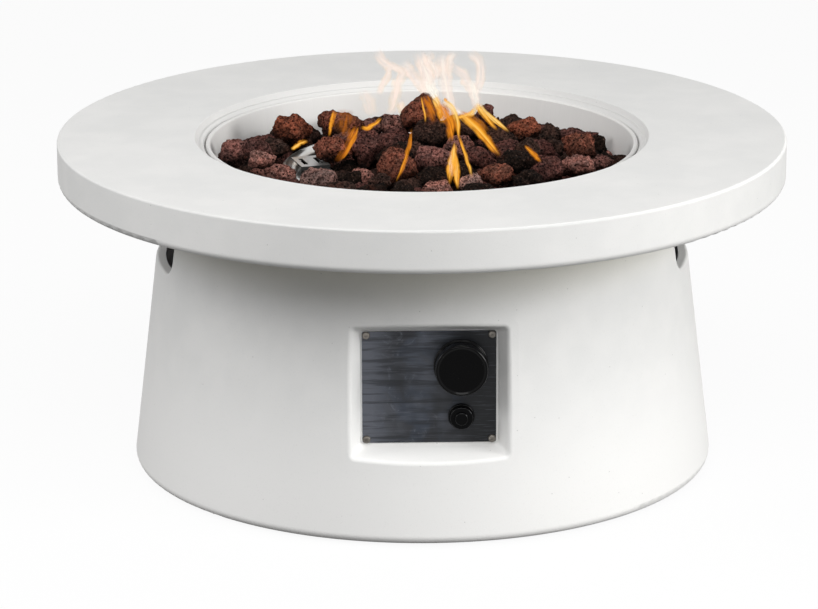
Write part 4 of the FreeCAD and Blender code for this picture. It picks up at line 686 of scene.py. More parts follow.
def grid_of_copies():
    """Copies at the corners of an upright rectangle, each turned by chance about its own axis."""
    work = Copies("copies on a rectangle", Width="Float", Height="Float", Middle="Vector", Turn_seed="Int")
    grid = work.add("GeometryNodeMeshGrid", inputs={
        "Size X": work.take("Width"), "Size Y": work.take("Height"), "Vertices X": 2, "Vertices Y": 2})
    placed = work.add("GeometryNodeTransform", inputs={
        "Geometry": grid, "Translation": work.take("Middle"), "Rotation": (math.pi / 2, 0.0, 0.0)})
    chance = work.add("FunctionNodeRandomValue", {"data_type": "FLOAT"}, {
        "Min_001": 0.0, "Max_001": math.pi / 2, "Seed": work.take("Turn seed")}, "Value_001")
    work.place(placed, work.join(y=chance))
    return work


# Lava stones

TINTS = {
    "rust": (0.205, 0.072, 0.042),
    "brown": (0.175, 0.069, 0.046),
    "purple": (0.169, 0.087, 0.076),
    "plum": (0.098, 0.047, 0.041),
    "pink": (0.275, 0.146, 0.122),
    "grey": (0.263, 0.174, 0.154),
    "dark": (0.041, 0.026, 0.021),
    "black": (0.013, 0.009, 0.007),
}

# Stones that show, by tint, in mm: x, y, width, height, tilt in degrees, then how far off the CAD middle
SHOWN_STONES = {
    "rust": ((-162, 88, 52, 38, -15, (1, 0, -1)), (130, 30, 42, 28, 10, (-2, 0, -5))),
    "brown": ((86, -188, 46, 26, 0, (0, 0, -2)), (193, -37, 42, 34, 0, (2, 0, -5)),
        (-104, 75, 60, 40, -8, (3, 0, -4)), (-33, -100, 50, 50, 0, (0, 0, -1)),
        (-116, -53, 52, 34, 0, (4, 32, -6)), (7, 62, 54, 52, 0, (-5, 0, -5))),
    "purple": ((-235, 5, 41, 36, 0, (0, 0, 0)), (45, -16, 42, 36, 0, (0, 0, -2)),
        (-64, 147, 34, 26, 0, (0, 0, -8)), (12, -78, 48, 34, 0, (0, 0, -5)),
        (-211, 68, 30, 24, 0, (4, 0, -14)), (223, -90, 30, 26, 0, (-2, 0, -1))),
    "plum": ((-207, -48, 40, 26, -5, (0, 0, -6)), (150, -138, 40, 30, 0, (0, 0, -3)),
        (148, -5, 50, 32, -10, (0, 0, -3)), (71, -65, 44, 30, -10, (-2, 0, -4)),
        (-73, -26, 46, 46, 0, (0, 0, -3)), (-34, 30, 52, 44, 0, (1, 0, -6)), (82, 85, 26, 38, 0, (0, 0, -8)),
        (-79, -175, 28, 26, 0, (0, 0, -2)), (-4, -205, 26, 24, 0, (-6, 0, -8)),
        (32, -235, 30, 26, 0, (8, 0, -10))),
    "pink": ((-185, -60, 56, 26, -10, (0, 0, -5)), (-199, -91, 34, 24, 0, (0, 0, -2)),
        (225, 75, 40, 28, 0, (0, 0, 0)), (190, -113, 40, 30, 0, (0, 0, -4)),
        (13, -178, 40, 24, 0, (2, 0, -4)), (-84, -106, 36, 30, 0, (4, 0, -2)),
        (-33, 100, 32, 34, 0, (0, 0, -3))),
    "grey": ((98, -154, 30, 24, 0, (0, 0, 2)), (-128, -128, 60, 30, 0, (-3, 0, -7)),
        (56, -140, 30, 24, 0, (0, 0, -5))),
    "dark": ((246, 12, 26, 20, 0, (0, 0, -5)), (-185, 25, 46, 26, 15, (-2, 0, -4)),
        (-48, -152, 28, 24, 0, (-7, 0, -2)), (166, 90, 40, 30, 0, (-3, 0, -4)),
        (124, 83, 44, 32, 0, (0, 0, 0)), (95, 5, 44, 34, 0, (4, 0, -4)), (102, 110, 24, 22, 0, (0, 0, -11)),
        (12, 13, 50, 44, 0, (-3, 0, -7)), (62, 21, 46, 34, 0, (0, 0, -11)), (-214, -21, 40, 40, 0, (0, 0, 0)),
        (-201, -129, 24, 22, 0, (0, 0, -16)), (-185, -156, 24, 22, 0, (0, 0, -16)),
        (-145, -191, 28, 24, 0, (0, 0, -18)), (-115, -171, 26, 24, 0, (0, 0, -16)),
        (170, 39, 28, 24, 0, (0, 0, -6)), (236, 42, 26, 20, 0, (0, 0, -22)),
        (-142, 172, 32, 28, 0, (0, 0, -2)), (32, 110, 34, 34, 0, (-3, 0, 4))),
    "black": ((220, 5, 26, 34, 0, (0, 0, -5)), (12, -124, 44, 30, 0, (0, 0, -5)),
        (117, -107, 52, 28, 0, (0, 0, -6)), (-186, -106, 34, 32, 0, (0, 0, -6)),
        (-151, -160, 26, 24, 0, (0, 0, -8)), (-82, -143, 32, 22, 0, (-9, 0, 1)),
        (-127, 13, 22, 18, 0, (4, 0, -8)), (140, -197, 36, 34, 0, (-17, 0, 12))),
}
STONE_REACH = 12.0

# All other stones: their tints, how they swell, stretch and lean
OTHER_TINTS = ("plum", "dark", "black", "dark", "purple", "dark", "black", "plum")
OTHER_SWELL = np.array((1.34, 1.34, 1.0))
OTHER_STRETCH = (0.88, 1.16)
OTHER_LEAN = 0.5

# Broken faces of a stone: how many, how far each turns by chance, how deep it cuts, how sharp its edges
ROCK_FACES = (9, 13)
FACE_TURN = 0.30
FACE_DEPTH = (0.76, 1.02)
ROCK_SHARPNESS = 17.0

# Surface of a stone: grain in metres, how far its patterns are moved by chance, and the density of each;
# a pit also has a side, width and depth
STONE_GRAIN = 0.009
PATTERN_SPREAD = 50
LUMP_DENSITY = 0.75
CRAG_DENSITY = 1.6
CRAG_PATTERN = (0.55, 2.1, 4)
PITS = ((2.2, 1, 0.42, 2.4), (4.6, -1, 0.38, 1.5))

# Painted shade on a stone's underside: how dark it is below, and the height where it starts to clear and the
# run until it has
UNDERSIDE_SHADE_LOW = 0.07
UNDERSIDE_SHADE_CLEARS = -0.55
UNDERSIDE_SHADE_RUN = 0.9
TINT_CHANCE = (0.9, 1.15)

# Bowl in mm: radius of its wall at the floor, the wall's slope and the floor's height
BOWL_WALL_LOW = 256.0
BOWL_WALL_SLOPE = 0.135
BOWL_FLOOR = 346.3
STONE_SEEDS = {"floor": 3, "middle": 8, "top": 21, "fill": 5}


def stone_places(node):
    """Middle and mean radius of each stone of a CAD node."""
    mesh = NODES[node].data
    mesh.calc_loop_triangles()
    spots = np.empty(len(mesh.vertices) * 3)
    mesh.vertices.foreach_get("co", spots)
    corners = np.empty(len(mesh.loop_triangles) * 3, int)
    mesh.loop_triangles.foreach_get("vertices", corners)
    merged, index = np.unique(np.round(spots.reshape(-1, 3), 6), axis=0, return_inverse=True)
    triangles = index.reshape(-1)[corners].reshape(-1, 3)
    stone, before = np.arange(len(merged)), None
    while not np.array_equal(stone, before):
        before = stone.copy()
        for side in triangles.T:
            np.minimum.at(stone, side, before[triangles].min(1))
    places = []
    for n in np.unique(stone):
        corner = merged[stone == n]
        middle = corner.mean(0)
        places.append((middle, np.linalg.norm(corner - middle, axis=1).mean()))
    places.sort(key=lambda p: tuple(np.round(p[0], 5)))
    return places


def ball_directions(levels):
    """Corners and faces of a ball of even triangles."""
    work = bmesh.new()
    bmesh.ops.create_icosphere(work, subdivisions=levels, radius=1.0)
    corners = np.array([v.co[:] for v in work.verts])
    faces = np.array([[v.index for v in f.verts] for f in work.faces])
    work.free()
    return corners / np.linalg.norm(corners, axis=1)[:, None], faces


def facets(dice):
    """Directions and distances of the broken faces of one stone of size 1."""
    count = int(dice.integers(*ROCK_FACES))
    turn = math.pi * (3 - math.sqrt(5))
    normals = []
    for i in range(count):
        height = 1 - (2 * i + 1) / count
        wide = math.sqrt(1 - height * height)
        normals.append((wide * math.cos(turn * i), wide * math.sin(turn * i), height))
    normals = np.array(normals) + dice.uniform(-FACE_TURN, FACE_TURN, (count, 3))
    spin, _ = np.linalg.qr(dice.normal(size=(3, 3)))
    normals = (normals / np.linalg.norm(normals, axis=1)[:, None]) @ spin
    return normals, dice.uniform(*FACE_DEPTH, count)


def rock(middle, half, tilt, fitted, directions, sizes, dice):
    """Corners of one rough stone with the given half sizes, leaning by tilt about Y."""
    normals, distances = facets(dice)
    facing = np.maximum(directions @ normals.T, 0.0) / distances
    body = directions * ((facing ** ROCK_SHARPNESS).sum(1) ** (-1 / ROCK_SHARPNESS))[:, None]
    body /= np.linalg.norm(body, axis=1).mean()
    lean = np.array(Matrix.Rotation(tilt, 3, "Y"))
    spots = (body * half) @ lean.T
    if fitted:
        low, high = spots.min(0), spots.max(0)
        spots = (spots - (low + high) / 2) * (2 * half / (high - low))
    outs = (directions / half) @ lean.T
    outs /= np.linalg.norm(outs, axis=1)[:, None]
    offset = Vector(dice.uniform(-PATTERN_SPREAD, PATTERN_SPREAD, 3))
    found = np.empty_like(spots)
    for i, spot in enumerate(spots):
        near = Vector(spot) / STONE_GRAIN
        lumps = noise.noise(near * LUMP_DENSITY + offset) * sizes.lumps
        crags = noise.fractal(near * CRAG_DENSITY - offset, *CRAG_PATTERN) * sizes.crags
        pits = 0.0
        for density, side, width, depth in PITS:
            distance = noise.voronoi(near * density + offset * side)[0][0]
            pits += max(0.0, width - distance) * sizes.pits * depth
        found[i] = spot + outs[i] * (lumps + crags - pits)
    return keep_in_bowl(found + middle)


def keep_in_bowl(spots):
    """Stone corners held inside the bowl's wall and above its floor."""
    across = np.hypot(spots[:, 0], spots[:, 1])
    wall = (BOWL_WALL_LOW + (spots[:, 2] / MM - BOWL_FLOOR) * BOWL_WALL_SLOPE) * MM
    spots[:, :2] *= np.minimum(1.0, wall / across)[:, None]
    spots[:, 2] = np.maximum(spots[:, 2], BOWL_FLOOR * MM)
    return spots


def stone_plan(middle, radius, dice):
    """Tint, middle, half sizes, tilt and whether these are listed, for one stone."""
    x, y = middle[0] / MM, middle[1] / MM
    chance = OTHER_TINTS[dice.integers(len(OTHER_TINTS))]
    stretch = dice.uniform(*OTHER_STRETCH, 3)
    lean = dice.uniform(-OTHER_LEAN, OTHER_LEAN)
    for tint, stones in SHOWN_STONES.items():
        for near_x, near_y, wide, tall, tilt, shift in stones:
            if math.hypot(near_x - x, near_y - y) < STONE_REACH:
                half = np.array((wide, (wide + tall) / 2, tall)) * MM / 2
                return TINTS[tint], middle + np.array(shift) * MM, half, -math.radians(tilt), True
    return TINTS[chance], middle, stretch * radius * OTHER_SWELL, lean, False


def rock_piece(name, node, seed, levels, sizes):
    """All stones of one CAD node as rough stones in one mesh."""
    directions, faces = ball_directions(levels)
    dice = np.random.default_rng(seed)
    corners, cuts, tints_with_shade = [], [], []
    for n, (middle, radius) in enumerate(stone_places(node)):
        tint, middle, half, tilt, fitted = stone_plan(middle, radius, dice)
        corners.append(rock(middle, half, tilt, fitted, directions, sizes, dice))
        cuts.append(faces + n * len(directions))
        # Painted shade: each stone's tint darkens towards its underside, where the stones around it hold off
        # the light
        underside_shade = UNDERSIDE_SHADE_LOW + (1 - UNDERSIDE_SHADE_LOW) * np.clip((directions[:, 2] - UNDERSIDE_SHADE_CLEARS) / UNDERSIDE_SHADE_RUN, 0, 1)
        shades = np.outer(underside_shade, np.array(tint) * dice.uniform(*TINT_CHANCE))
        tints_with_shade.append(np.column_stack([shades, np.ones(len(directions))]))
    mesh = bpy.data.meshes.new(name)
    mesh.from_pydata(np.vstack(corners).tolist(), [], np.vstack(cuts).tolist())
    layer = mesh.attributes.new("tint", "FLOAT_COLOR", "POINT")
    layer.data.foreach_set("color", np.vstack(tints_with_shade).astype(np.float32).ravel())
    mesh.shade_smooth()
    return add_piece(name, mesh, "table", "lava", [node])


# Flames: warmth at the start and the end (0 deep orange, 1 white) and strength, then the points of a line,
# each with x, y, height and half width in mm
FLAMES = (
    (0.36, 0.42, 1, (-109, 29, 443, 5.4), (-112, 9, 436, 4.2), (-114, -11, 431, 3.4), (-117, -31, 423, 2.6)),
    (0.06, 0.08, 0.5, (-94, 8, 450, 16.7), (-95, -12, 441, 17.6), (-97, -32, 435, 16.9),
     (-100, -37, 424, 14.2)),
    (0.2, 0.15, 0.6, (-82, -36, 440, 5.1), (-87, -46, 429, 7.2), (-93, -49, 417, 7.7), (-101, -49, 405, 6.6),
     (-109, -45, 394, 3.9)),
    (0.4, 0.3, 0.9, (-79, -31, 437, 1.8), (-83, -46, 428, 2.4), (-89, -46, 416, 2.6), (-96, -46, 405, 2.2),
     (-104, -45, 395, 1.5)),
    (0.4, 0.42, 1, (-77, -28, 436, 3.9), (-69, -31, 433, 4.7), (-63, -31, 437, 4.6), (-56, -11, 437, 3.9),
     (-50, 9, 438, 3.1)),
    (0.5, 0.45, 1, (-165, 5, 399, 3.1), (-155, 25, 400, 5.0), (-143, 45, 400, 3.9)),
    (0.3, 0.42, 1, (-16, -163, 468, 1.3), (-19, -183, 455, 3.6), (-24, -203, 443, 4.8), (-30, -223, 431, 3.5),
     (-37, -223, 415, 1.8)),
    (0.8, 0.84, 0.75, (-41, 150, 404, 7.5), (-32, 172, 421, 11.7), (-26, 193, 438, 10.9),
     (-17, 215, 455, 12.5)),
    (0.7, 0.78, 0.6, (-19, 130, 407, 8.9), (-20, 140, 416, 8.9), (-24, 150, 426, 7.5)),
    (0.82, 0.84, 0.7, (-52, 185, 423, 5.8), (-43, 198, 441, 8.2), (-32, 212, 459, 7.1)),
    (0.84, 0.86, 0.7, (-10, 208, 443, 5.8), (-27, 211, 453, 8.2), (-44, 215, 462, 10.9),
     (-57, 218, 475, 12.2)),
    (0.84, 0.86, 0.75, (13, 165, 424, 7.1), (3, 182, 438, 10.9), (-7, 198, 451, 12.2), (-20, 215, 463, 11.6)),
    (0.95, 1, 0.95, (20, 36, 454, 6.3), (14, 49, 462, 12.5), (10, 62, 470, 12.5)),
    (0.9, 0.85, 0.85, (16, 165, 427, 12.5), (12, 182, 444, 16.7), (6, 199, 460, 16.0), (1, 216, 475, 12.2)),
    (0.86, 0.86, 0.7, (26, 170, 445, 7.7), (20, 193, 462, 11.7), (13, 216, 475, 12.2)),
    (0.88, 0.85, 0.7, (41, 125, 418, 7.7), (37, 155, 437, 12.4), (35, 186, 457, 14.3), (36, 216, 475, 15.4)),
    (0.86, 0.86, 0.55, (40, 205, 441, 7.7), (43, 210, 459, 9.7), (49, 216, 475, 10.3)),
    (0.88, 0.92, 0.65, (53, 60, 426, 6.3), (44, 70, 432, 7.3), (38, 80, 441, 5.0)),
    (0.9, 0.94, 0.85, (73, 62, 433, 8.9), (70, 86, 447, 10.8), (65, 110, 461, 9.7)),
    (0.86, 0.85, 0.7, (73, 165, 425, 9.0), (63, 188, 444, 12.1), (44, 212, 457, 10.3)),
    (0.86, 0.85, 0.65, (75, 170, 426, 7.1), (82, 185, 445, 10.3), (81, 201, 464, 10.9), (66, 216, 475, 12.2)),
    (0.78, 0.82, 0.28, (-59, 155, 402, 11.6), (-66, 166, 418, 15.4), (-71, 178, 435, 11.6)),
    (0.1, 0.12, 0.6, (2, 42, 458, 6.4), (8, 31, 448, 9.1), (12, 11, 442, 8.8), (16, 2, 431, 5.1)),
    (0.24, 0.3, 0.8, (21, 26, 454, 9.0), (28, 6, 447, 14.1), (34, -14, 439, 12.0), (36, -34, 430, 9.0),
     (38, -34, 415, 5.8)),
    (0.3, 0.34, 0.6, (46, 11, 442, 7.7), (61, 5, 437, 10.8), (72, 1, 430, 10.1), (85, -9, 422, 7.7)),
    (0.45, 0.42, 0.85, (0, 40, 458, 1.3), (2, 33, 447, 2.1), (4, 16, 441, 2.4), (5, 9, 430, 2.1)),
    (0.15, 0.25, 0.7, (8, 43, 459, 2.6), (11, 36, 450, 4.0), (15, 32, 442, 4.1), (19, 32, 432, 3.2)),
    (0.66, 0.4, 1, (14, 48, 459, 6.4), (21, 28, 451, 7.8), (25, 8, 444, 7.3), (28, -2, 431, 5.1)),
    (0.4, 0.4, 0.9, (29, 54, 450, 2.6), (33, 54, 448, 3.2), (36, 54, 443, 1.9)),
    (0.74, 0.35, 1, (25, 36, 452, 3.9), (35, 16, 451, 6.6), (42, -4, 446, 6.9), (44, -24, 439, 5.4),
     (45, -35, 429, 4.0), (46, -35, 416, 2.6)),
    (0.25, 0.3, 0.75, (29, 22, 445, 3.9), (32, 2, 440, 5.2), (34, -15, 433, 4.9), (36, -35, 428, 3.4),
     (38, -35, 418, 1.5)),
    (0.45, 0.6, 0.95, (42, 8, 437, 3.2), (53, 8, 439, 5.0), (62, 9, 442, 5.8), (72, 29, 445, 5.8)),
    (0.52, 0.36, 1, (46, -36, 454, 6.4), (57, -56, 449, 8.5), (67, -76, 443, 9.0), (76, -96, 436, 8.6),
     (85, -116, 429, 7.3), (94, -116, 418, 5.1)),
    (0.6, 0.42, 1, (69, 48, 447, 5.8), (74, 28, 441, 5.8), (80, 8, 437, 4.9), (87, -12, 433, 3.7),
     (95, -12, 424, 2.6)),
    (0.68, 0.5, 1, (74, 44, 447, 4.5), (81, 24, 440, 5.0), (90, 4, 436, 5.1), (100, -16, 432, 4.1),
     (110, -16, 423, 2.6)),
    (0.5, 0.45, 1, (37, -124, 441, 1.3), (35, -144, 434, 5.6), (33, -164, 428, 9.2), (32, -184, 422, 9.3),
     (29, -192, 413, 5.6), (28, -192, 402, 2.1)),
    (0.55, 0.42, 1, (36, -116, 427, 2.6), (37, -136, 420, 6.0), (38, -156, 412, 7.2), (39, -159, 400, 5.7),
     (40, -159, 388, 2.1)),
    (0.78, 0.76, 1, (36, -105, 429, 2.1), (34, -123, 420, 6.3), (32, -140, 412, 6.4), (32, -150, 401, 3.9)),
    (0.8, 0.74, 1, (37, -110, 423, 2.6), (37, -130, 416, 5.0), (37, -139, 408, 4.9), (38, -159, 400, 3.2)),
    (0.4, 0.55, 1, (43, -93, 440, 1.8), (47, -113, 432, 2.7), (51, -133, 424, 3.8), (54, -153, 415, 3.4),
     (57, -153, 401, 2.3)),
    (0.35, 0.3, 0.8, (123, -113, 432, 3.2), (133, -133, 426, 5.5), (142, -153, 420, 3.2)),
)
FLAME_ROWS = 26
FLAME_AROUND = 12
FLAME_THICKNESS = 0.30
FLAME_SMOOTHING = 4
FLAME_MARKS = ("along", "across", "warmth", "veil", "which")


def flame_mesh(name):
    """All flames as closed lens-shaped blades, each corner marked with how far along and across it
    is, how warm, how strong and of which flame."""
    spots, faces, marks = [], [], []
    lean = math.radians(CAMERA_PITCH)
    for which, (first, last, strength, *line) in enumerate(FLAMES):
        start = len(spots)
        keys = np.linspace(0, 1, len(line))
        along = np.linspace(0, 1, FLAME_ROWS)
        x, y, z, wide = (smooth_run(np.interp(along, keys, [p[k] for p in line])) for k in range(4))
        climb = np.gradient(z) * math.cos(lean) + np.gradient(y) * math.sin(lean)
        slope = np.stack([np.gradient(x), climb], 1)
        slope /= np.linalg.norm(slope, axis=1)[:, None]
        for i in range(FLAME_ROWS):
            for n in range(FLAME_AROUND):
                angle = 2 * math.pi * n / FLAME_AROUND
                across = math.cos(angle)
                thick = math.sin(angle) * wide[i] * FLAME_THICKNESS
                out = across * wide[i]
                spots.append(((x[i] - slope[i][1] * out) * MM, (y[i] + thick) * MM,
                              (z[i] + slope[i][0] * out) * MM))
                marks.append((along[i], across, first + (last - first) * along[i], strength, which))
        for i in range(FLAME_ROWS - 1):
            for n in range(FLAME_AROUND):
                a, b = start + i * FLAME_AROUND + n, start + i * FLAME_AROUND + (n + 1) % FLAME_AROUND
                faces.append((a, b, b + FLAME_AROUND, a + FLAME_AROUND))
        for i in (0, FLAME_ROWS - 1):
            faces.append(range(start + i * FLAME_AROUND, start + (i + 1) * FLAME_AROUND))
    mesh = bpy.data.meshes.new(name)
    mesh.from_pydata(spots, [], faces)
    for label, values in zip(FLAME_MARKS, zip(*marks)):
        mesh.attributes.new(label, "FLOAT", "POINT").data.foreach_set("value", values)
    outward(mesh)
    mesh.shade_smooth()
    return mesh


def smooth_run(values):
    """Numbers with their jumps evened out, the first and the last kept."""
    for _ in range(FLAME_SMOOTHING):
        values = np.concatenate([values[:1], (values[:-2] + 2 * values[1:-1] + values[2:]) / 4, values[-1:]])
    return values


# Settings

class FirePitSizes(bpy.types.PropertyGroup):
    """Sizes a user would change."""
    lumps: FloatProperty(
        name="Stone lumps", description="How far the lava stones' lumps stand out", default=0.0030,
        min=0.0, max=0.006, unit="LENGTH")
    crags: FloatProperty(
        name="Stone crags", description="How rough the lava stones' broken faces are", default=0.0017,
        min=0.0, max=0.004, unit="LENGTH")
    pits: FloatProperty(
        name="Stone pits", description="Depth of the larger pits in the lava stones", default=0.0022,
        min=0.0, max=0.005, unit="LENGTH")
    stone_levels: IntProperty(
        name="Stone detail", description="Subdivisions of each lava stone", default=5, min=2, max=5)
    knob_dish: FloatProperty(
        name="Knob dish", description="Depth of the dish in the knob's face", default=0.0012,
        min=0.0, max=0.004, unit="LENGTH")
    recess_depth: FloatProperty(
        name="Screw recess", description="Depth of the cross recess in the panel screws", default=0.0016,
        min=0.0005, max=0.0025, unit="LENGTH")
    lit: BoolProperty(name="Lit", description="Draw the flames", default=True)


COLOUR = {"min": 0.0, "max": 1.0, "subtype": "COLOR"}


class FirePitColours(bpy.types.PropertyGroup):
    """Colours a user would change."""
    concrete: FloatVectorProperty(
        name="Concrete", description="Colour of the cast top", default=(0.83, 0.825, 0.812), **COLOUR)
    base: FloatVectorProperty(
        name="Base", description="Colour of the cast base", default=(0.88, 0.875, 0.862), **COLOUR)
    bowl_steel: FloatVectorProperty(
        name="Bowl steel", description="Colour of the fire bowl", default=(0.76, 0.75, 0.735), **COLOUR)
    plate: FloatVectorProperty(
        name="Plate", description="Colour of the control plate", default=(0.030, 0.032, 0.037), **COLOUR)
    floor: FloatVectorProperty(
        name="Floor", description="Colour of the floor", default=(0.90, 0.90, 0.90), **COLOUR)


# Operators

class FIREPIT_OT_stage(bpy.types.Operator):
    """Camera, floor, lamps and white surroundings"""
    bl_idname = "firepit.stage"
    bl_label = "Stage"

    def execute(self, context):
        scene = context.scene
        scene.view_settings.view_transform = "Standard"
        self.add_camera(scene)
        for lamp in LAMPS:
            self.add_lamp(*lamp)
        self.add_world(scene)
        self.add_floor(scene.firepit_colours.floor)
        return {"FINISHED"}

    def add_camera(self, scene):
        data = bpy.data.cameras.new("camera")
        data.lens = LENS
        data.sensor_width = SENSOR
        data.sensor_fit = "HORIZONTAL"
        data.clip_end = FARTHEST
        camera = new_object("camera", data)
        aside = math.atan(SUBJECT_OFFSET * SENSOR / LENS / PHOTO_WIDTH)
        turn = Matrix.Rotation(math.radians(CAMERA_TURN), 4, "Z")
        pitch = Matrix.Rotation(math.radians(90 - CAMERA_PITCH), 4, "X")
        yaw = Matrix.Rotation(aside, 4, "Y")
        roll = Matrix.Rotation(math.radians(CAMERA_ROLL), 4, "Z")
        camera.matrix_world = Matrix.Translation(CAMERA_PLACE) @ turn @ pitch @ yaw @ roll
        scene.camera = camera

    def add_lamp(self, name, place, width, power, colour):
        data = bpy.data.lights.new(name, "AREA")
        data.shape = "DISK"
        data.size = width
        data.energy = power
        data.color = colour
        lamp = new_object(name, data)
        lamp.location = place
        lamp.rotation_euler = (LAMP_AIM - Vector(place)).to_track_quat("-Z", "Y").to_euler()

    def seen(self, work):
        """1 for rays from the camera and those that mirror or pass through."""
        rays = work.add("ShaderNodeLightPath")
        seen = work.math("MAXIMUM", rays.out("Is Camera Ray"), rays.out("Is Glossy Ray"))
        return work.math("MAXIMUM", seen, rays.out("Is Transmission Ray"))

    def add_world(self, scene):
        world = bpy.data.worlds.new("white studio")
        world.use_nodes = True
        scene.world = world
        work = NodeWork(world.node_tree)
        back = world.node_tree.nodes["Background"]
        work.feed(back.inputs["Color"], WHITE)
        work.feed(back.inputs["Strength"], ROOM_LIGHT + self.seen(work) * (1 - ROOM_LIGHT))

    def add_floor(self, colour):
        mesh = bpy.data.meshes.new("floor")
        corners = [(x * FLOOR_HALF, y * FLOOR_HALF, 0) for x, y in ((-1, -1), (1, -1), (1, 1), (-1, 1))]
        mesh.from_pydata(corners, [], [(0, 1, 2, 3)])
        paint = Paint("pale floor")
        x, y = paint.split(paint.place)[:2]
        # Painted shade: inside the round under the base the floor shows its dark bounce colour without glow,
        # as shadow seen through the gap
        outside_base_shade = (x * x + y * y).step(UNDER_BASE_SHADE ** 2, (UNDER_BASE_SHADE + UNDER_BASE_SHADE_RUN) ** 2)
        seen = self.seen(paint) * outside_base_shade
        base = paint.blend(seen, FLOOR_BOUNCE, colour)
        paint.finish(Base_Color=base, Roughness=0.9, Specular_IOR_Level=0.1)
        glow = paint.add("ShaderNodeEmission", inputs={"Color": WHITE, "Strength": 1.0})
        mixed = paint.add("ShaderNodeMixShader", inputs={
            0: seen * FLOOR_GLOW, 1: Value(paint, paint.shader, paint.shader.outputs[0]), 2: glow})
        paint.feed(paint.tree.nodes["Material Output"].inputs["Surface"], mixed)
        mesh.materials.append(paint.material)
        new_object("floor", mesh)


class FIREPIT_OT_finishes(bpy.types.Operator):
    """Materials of all pieces"""
    bl_idname = "firepit.finishes"
    bl_label = "Finishes"

    def execute(self, context):
        make_finishes(context.scene.firepit_colours)
        return {"FINISHED"}


class FIREPIT_OT_cast_parts(bpy.types.Operator):
    """Cast concrete top and base"""
    bl_idname = "firepit.cast_parts"
    bl_label = "Cast top and base"

    def execute(self, context):
        dress("table_top")
        dress("base", finish="concrete_base")
        return {"FINISHED"}


class FIREPIT_OT_top_fastening(bpy.types.Operator):
    """Bolts, washers, inserts and pads between the top and the base"""
    bl_idname = "firepit.top_fastening"
    bl_label = "Top fastening"

    def execute(self, context):
        dress("top_pads", "top_washers", "top_bolts", "top_inserts")
        return {"FINISHED"}


class FIREPIT_OT_feet(bpy.types.Operator):
    """Ribbed rubber pads under the base"""
    bl_idname = "firepit.feet"
    bl_label = "Feet"

    def execute(self, context):
        low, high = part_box("foot_pads")
        height = (high.z - low.z) / MM
        profile = [(0, 0, 0)]
        for i in range(RIB_COUNT):
            profile += [(RIB_START + i * RIB_PITCH + across, depth, 0) for across, depth in RIB]
        profile += [
            (FOOT_RADIUS, 0, 0.9), (FOOT_RADIUS, 3.0, 0.2), (FOOT_RADIUS - 0.3, 3.3, 0.2),
            (FOOT_RADIUS - 0.3, height, 0.5), (0, height, 0)]
        mesh = lathe_mesh("foot pad", profile, (0, 0, 0), UP, around=64, steps=4)
        smooth_by_angle(mesh)
        pads = ring_of_copies().make("foot_pad_set", mesh, "rubber", {
            "Count": FOOT_COUNT, "Circle radius": FOOT_CIRCLE * MM, "Height": low.z, "First turn": FOOT_TURN})
        add_piece("foot_pad_set", pads, "table", "rubber", ["foot_pads"])
        return {"FINISHED"}


class FIREPIT_OT_hose_way(bpy.types.Operator):
    """Rubber ring in the hose hole"""
    bl_idname = "firepit.hose_way"
    bl_label = "Hose way"

    def execute(self, context):
        dress("hose_grommet")
        return {"FINISHED"}


class FIREPIT_OT_bowl(bpy.types.Operator):
    """Fire bowl and the shield below it"""
    bl_idname = "firepit.bowl"
    bl_label = "Bowl and shield"

    def execute(self, context):
        dress("fire_bowl", "heat_shield", "shield_studs", "shield_nuts", "lead_grommet")
        return {"FINISHED"}


class FIREPIT_OT_burner(bpy.types.Operator):
    """Ring burner and what feeds it"""
    bl_idname = "firepit.burner"
    bl_label = "Burner"

    def execute(self, context):
        dress("ring_burner", "burner_lock_nut", "air_mixer", "injector_elbow", "gas_tube", "gas_tube_nuts")
        return {"FINISHED"}


class FIREPIT_OT_pilot(bpy.types.Operator):
    """Hood, electrode, thermocouple and their leads"""
    bl_idname = "firepit.pilot"
    bl_label = "Pilot group"

    def execute(self, context):
        dress("pilot_bracket", finish="hood_steel")
        dress("pilot_screws", "pilot_nuts", "electrode_ceramic", "electrode_pin", "thermocouple",
              "thermocouple_lead", "spark_lead", "earth_lead")
        return {"FINISHED"}


class FIREPIT_OT_valve(bpy.types.Operator):
    """Gas valve with its plug, spindle, spring, magnet and fittings"""
    bl_idname = "firepit.valve"
    bl_label = "Gas valve"

    def execute(self, context):
        dress("valve_screws", "valve_bonnet", "valve_body", "valve_back_cap", "valve_plug", "valve_spindle",
              "thrust_washer", "safety_magnet", "outlet_fitting", "inlet_fitting")
        pressed_spring("knob_spring", "spindle_spring")
        return {"FINISHED"}


class FIREPIT_OT_panel(bpy.types.Operator):
    """Dark plate of the control recess and its threaded inserts"""
    bl_idname = "firepit.panel"
    bl_label = "Control plate"

    def execute(self, context):
        dress("control_panel", "panel_inserts")
        return {"FINISHED"}


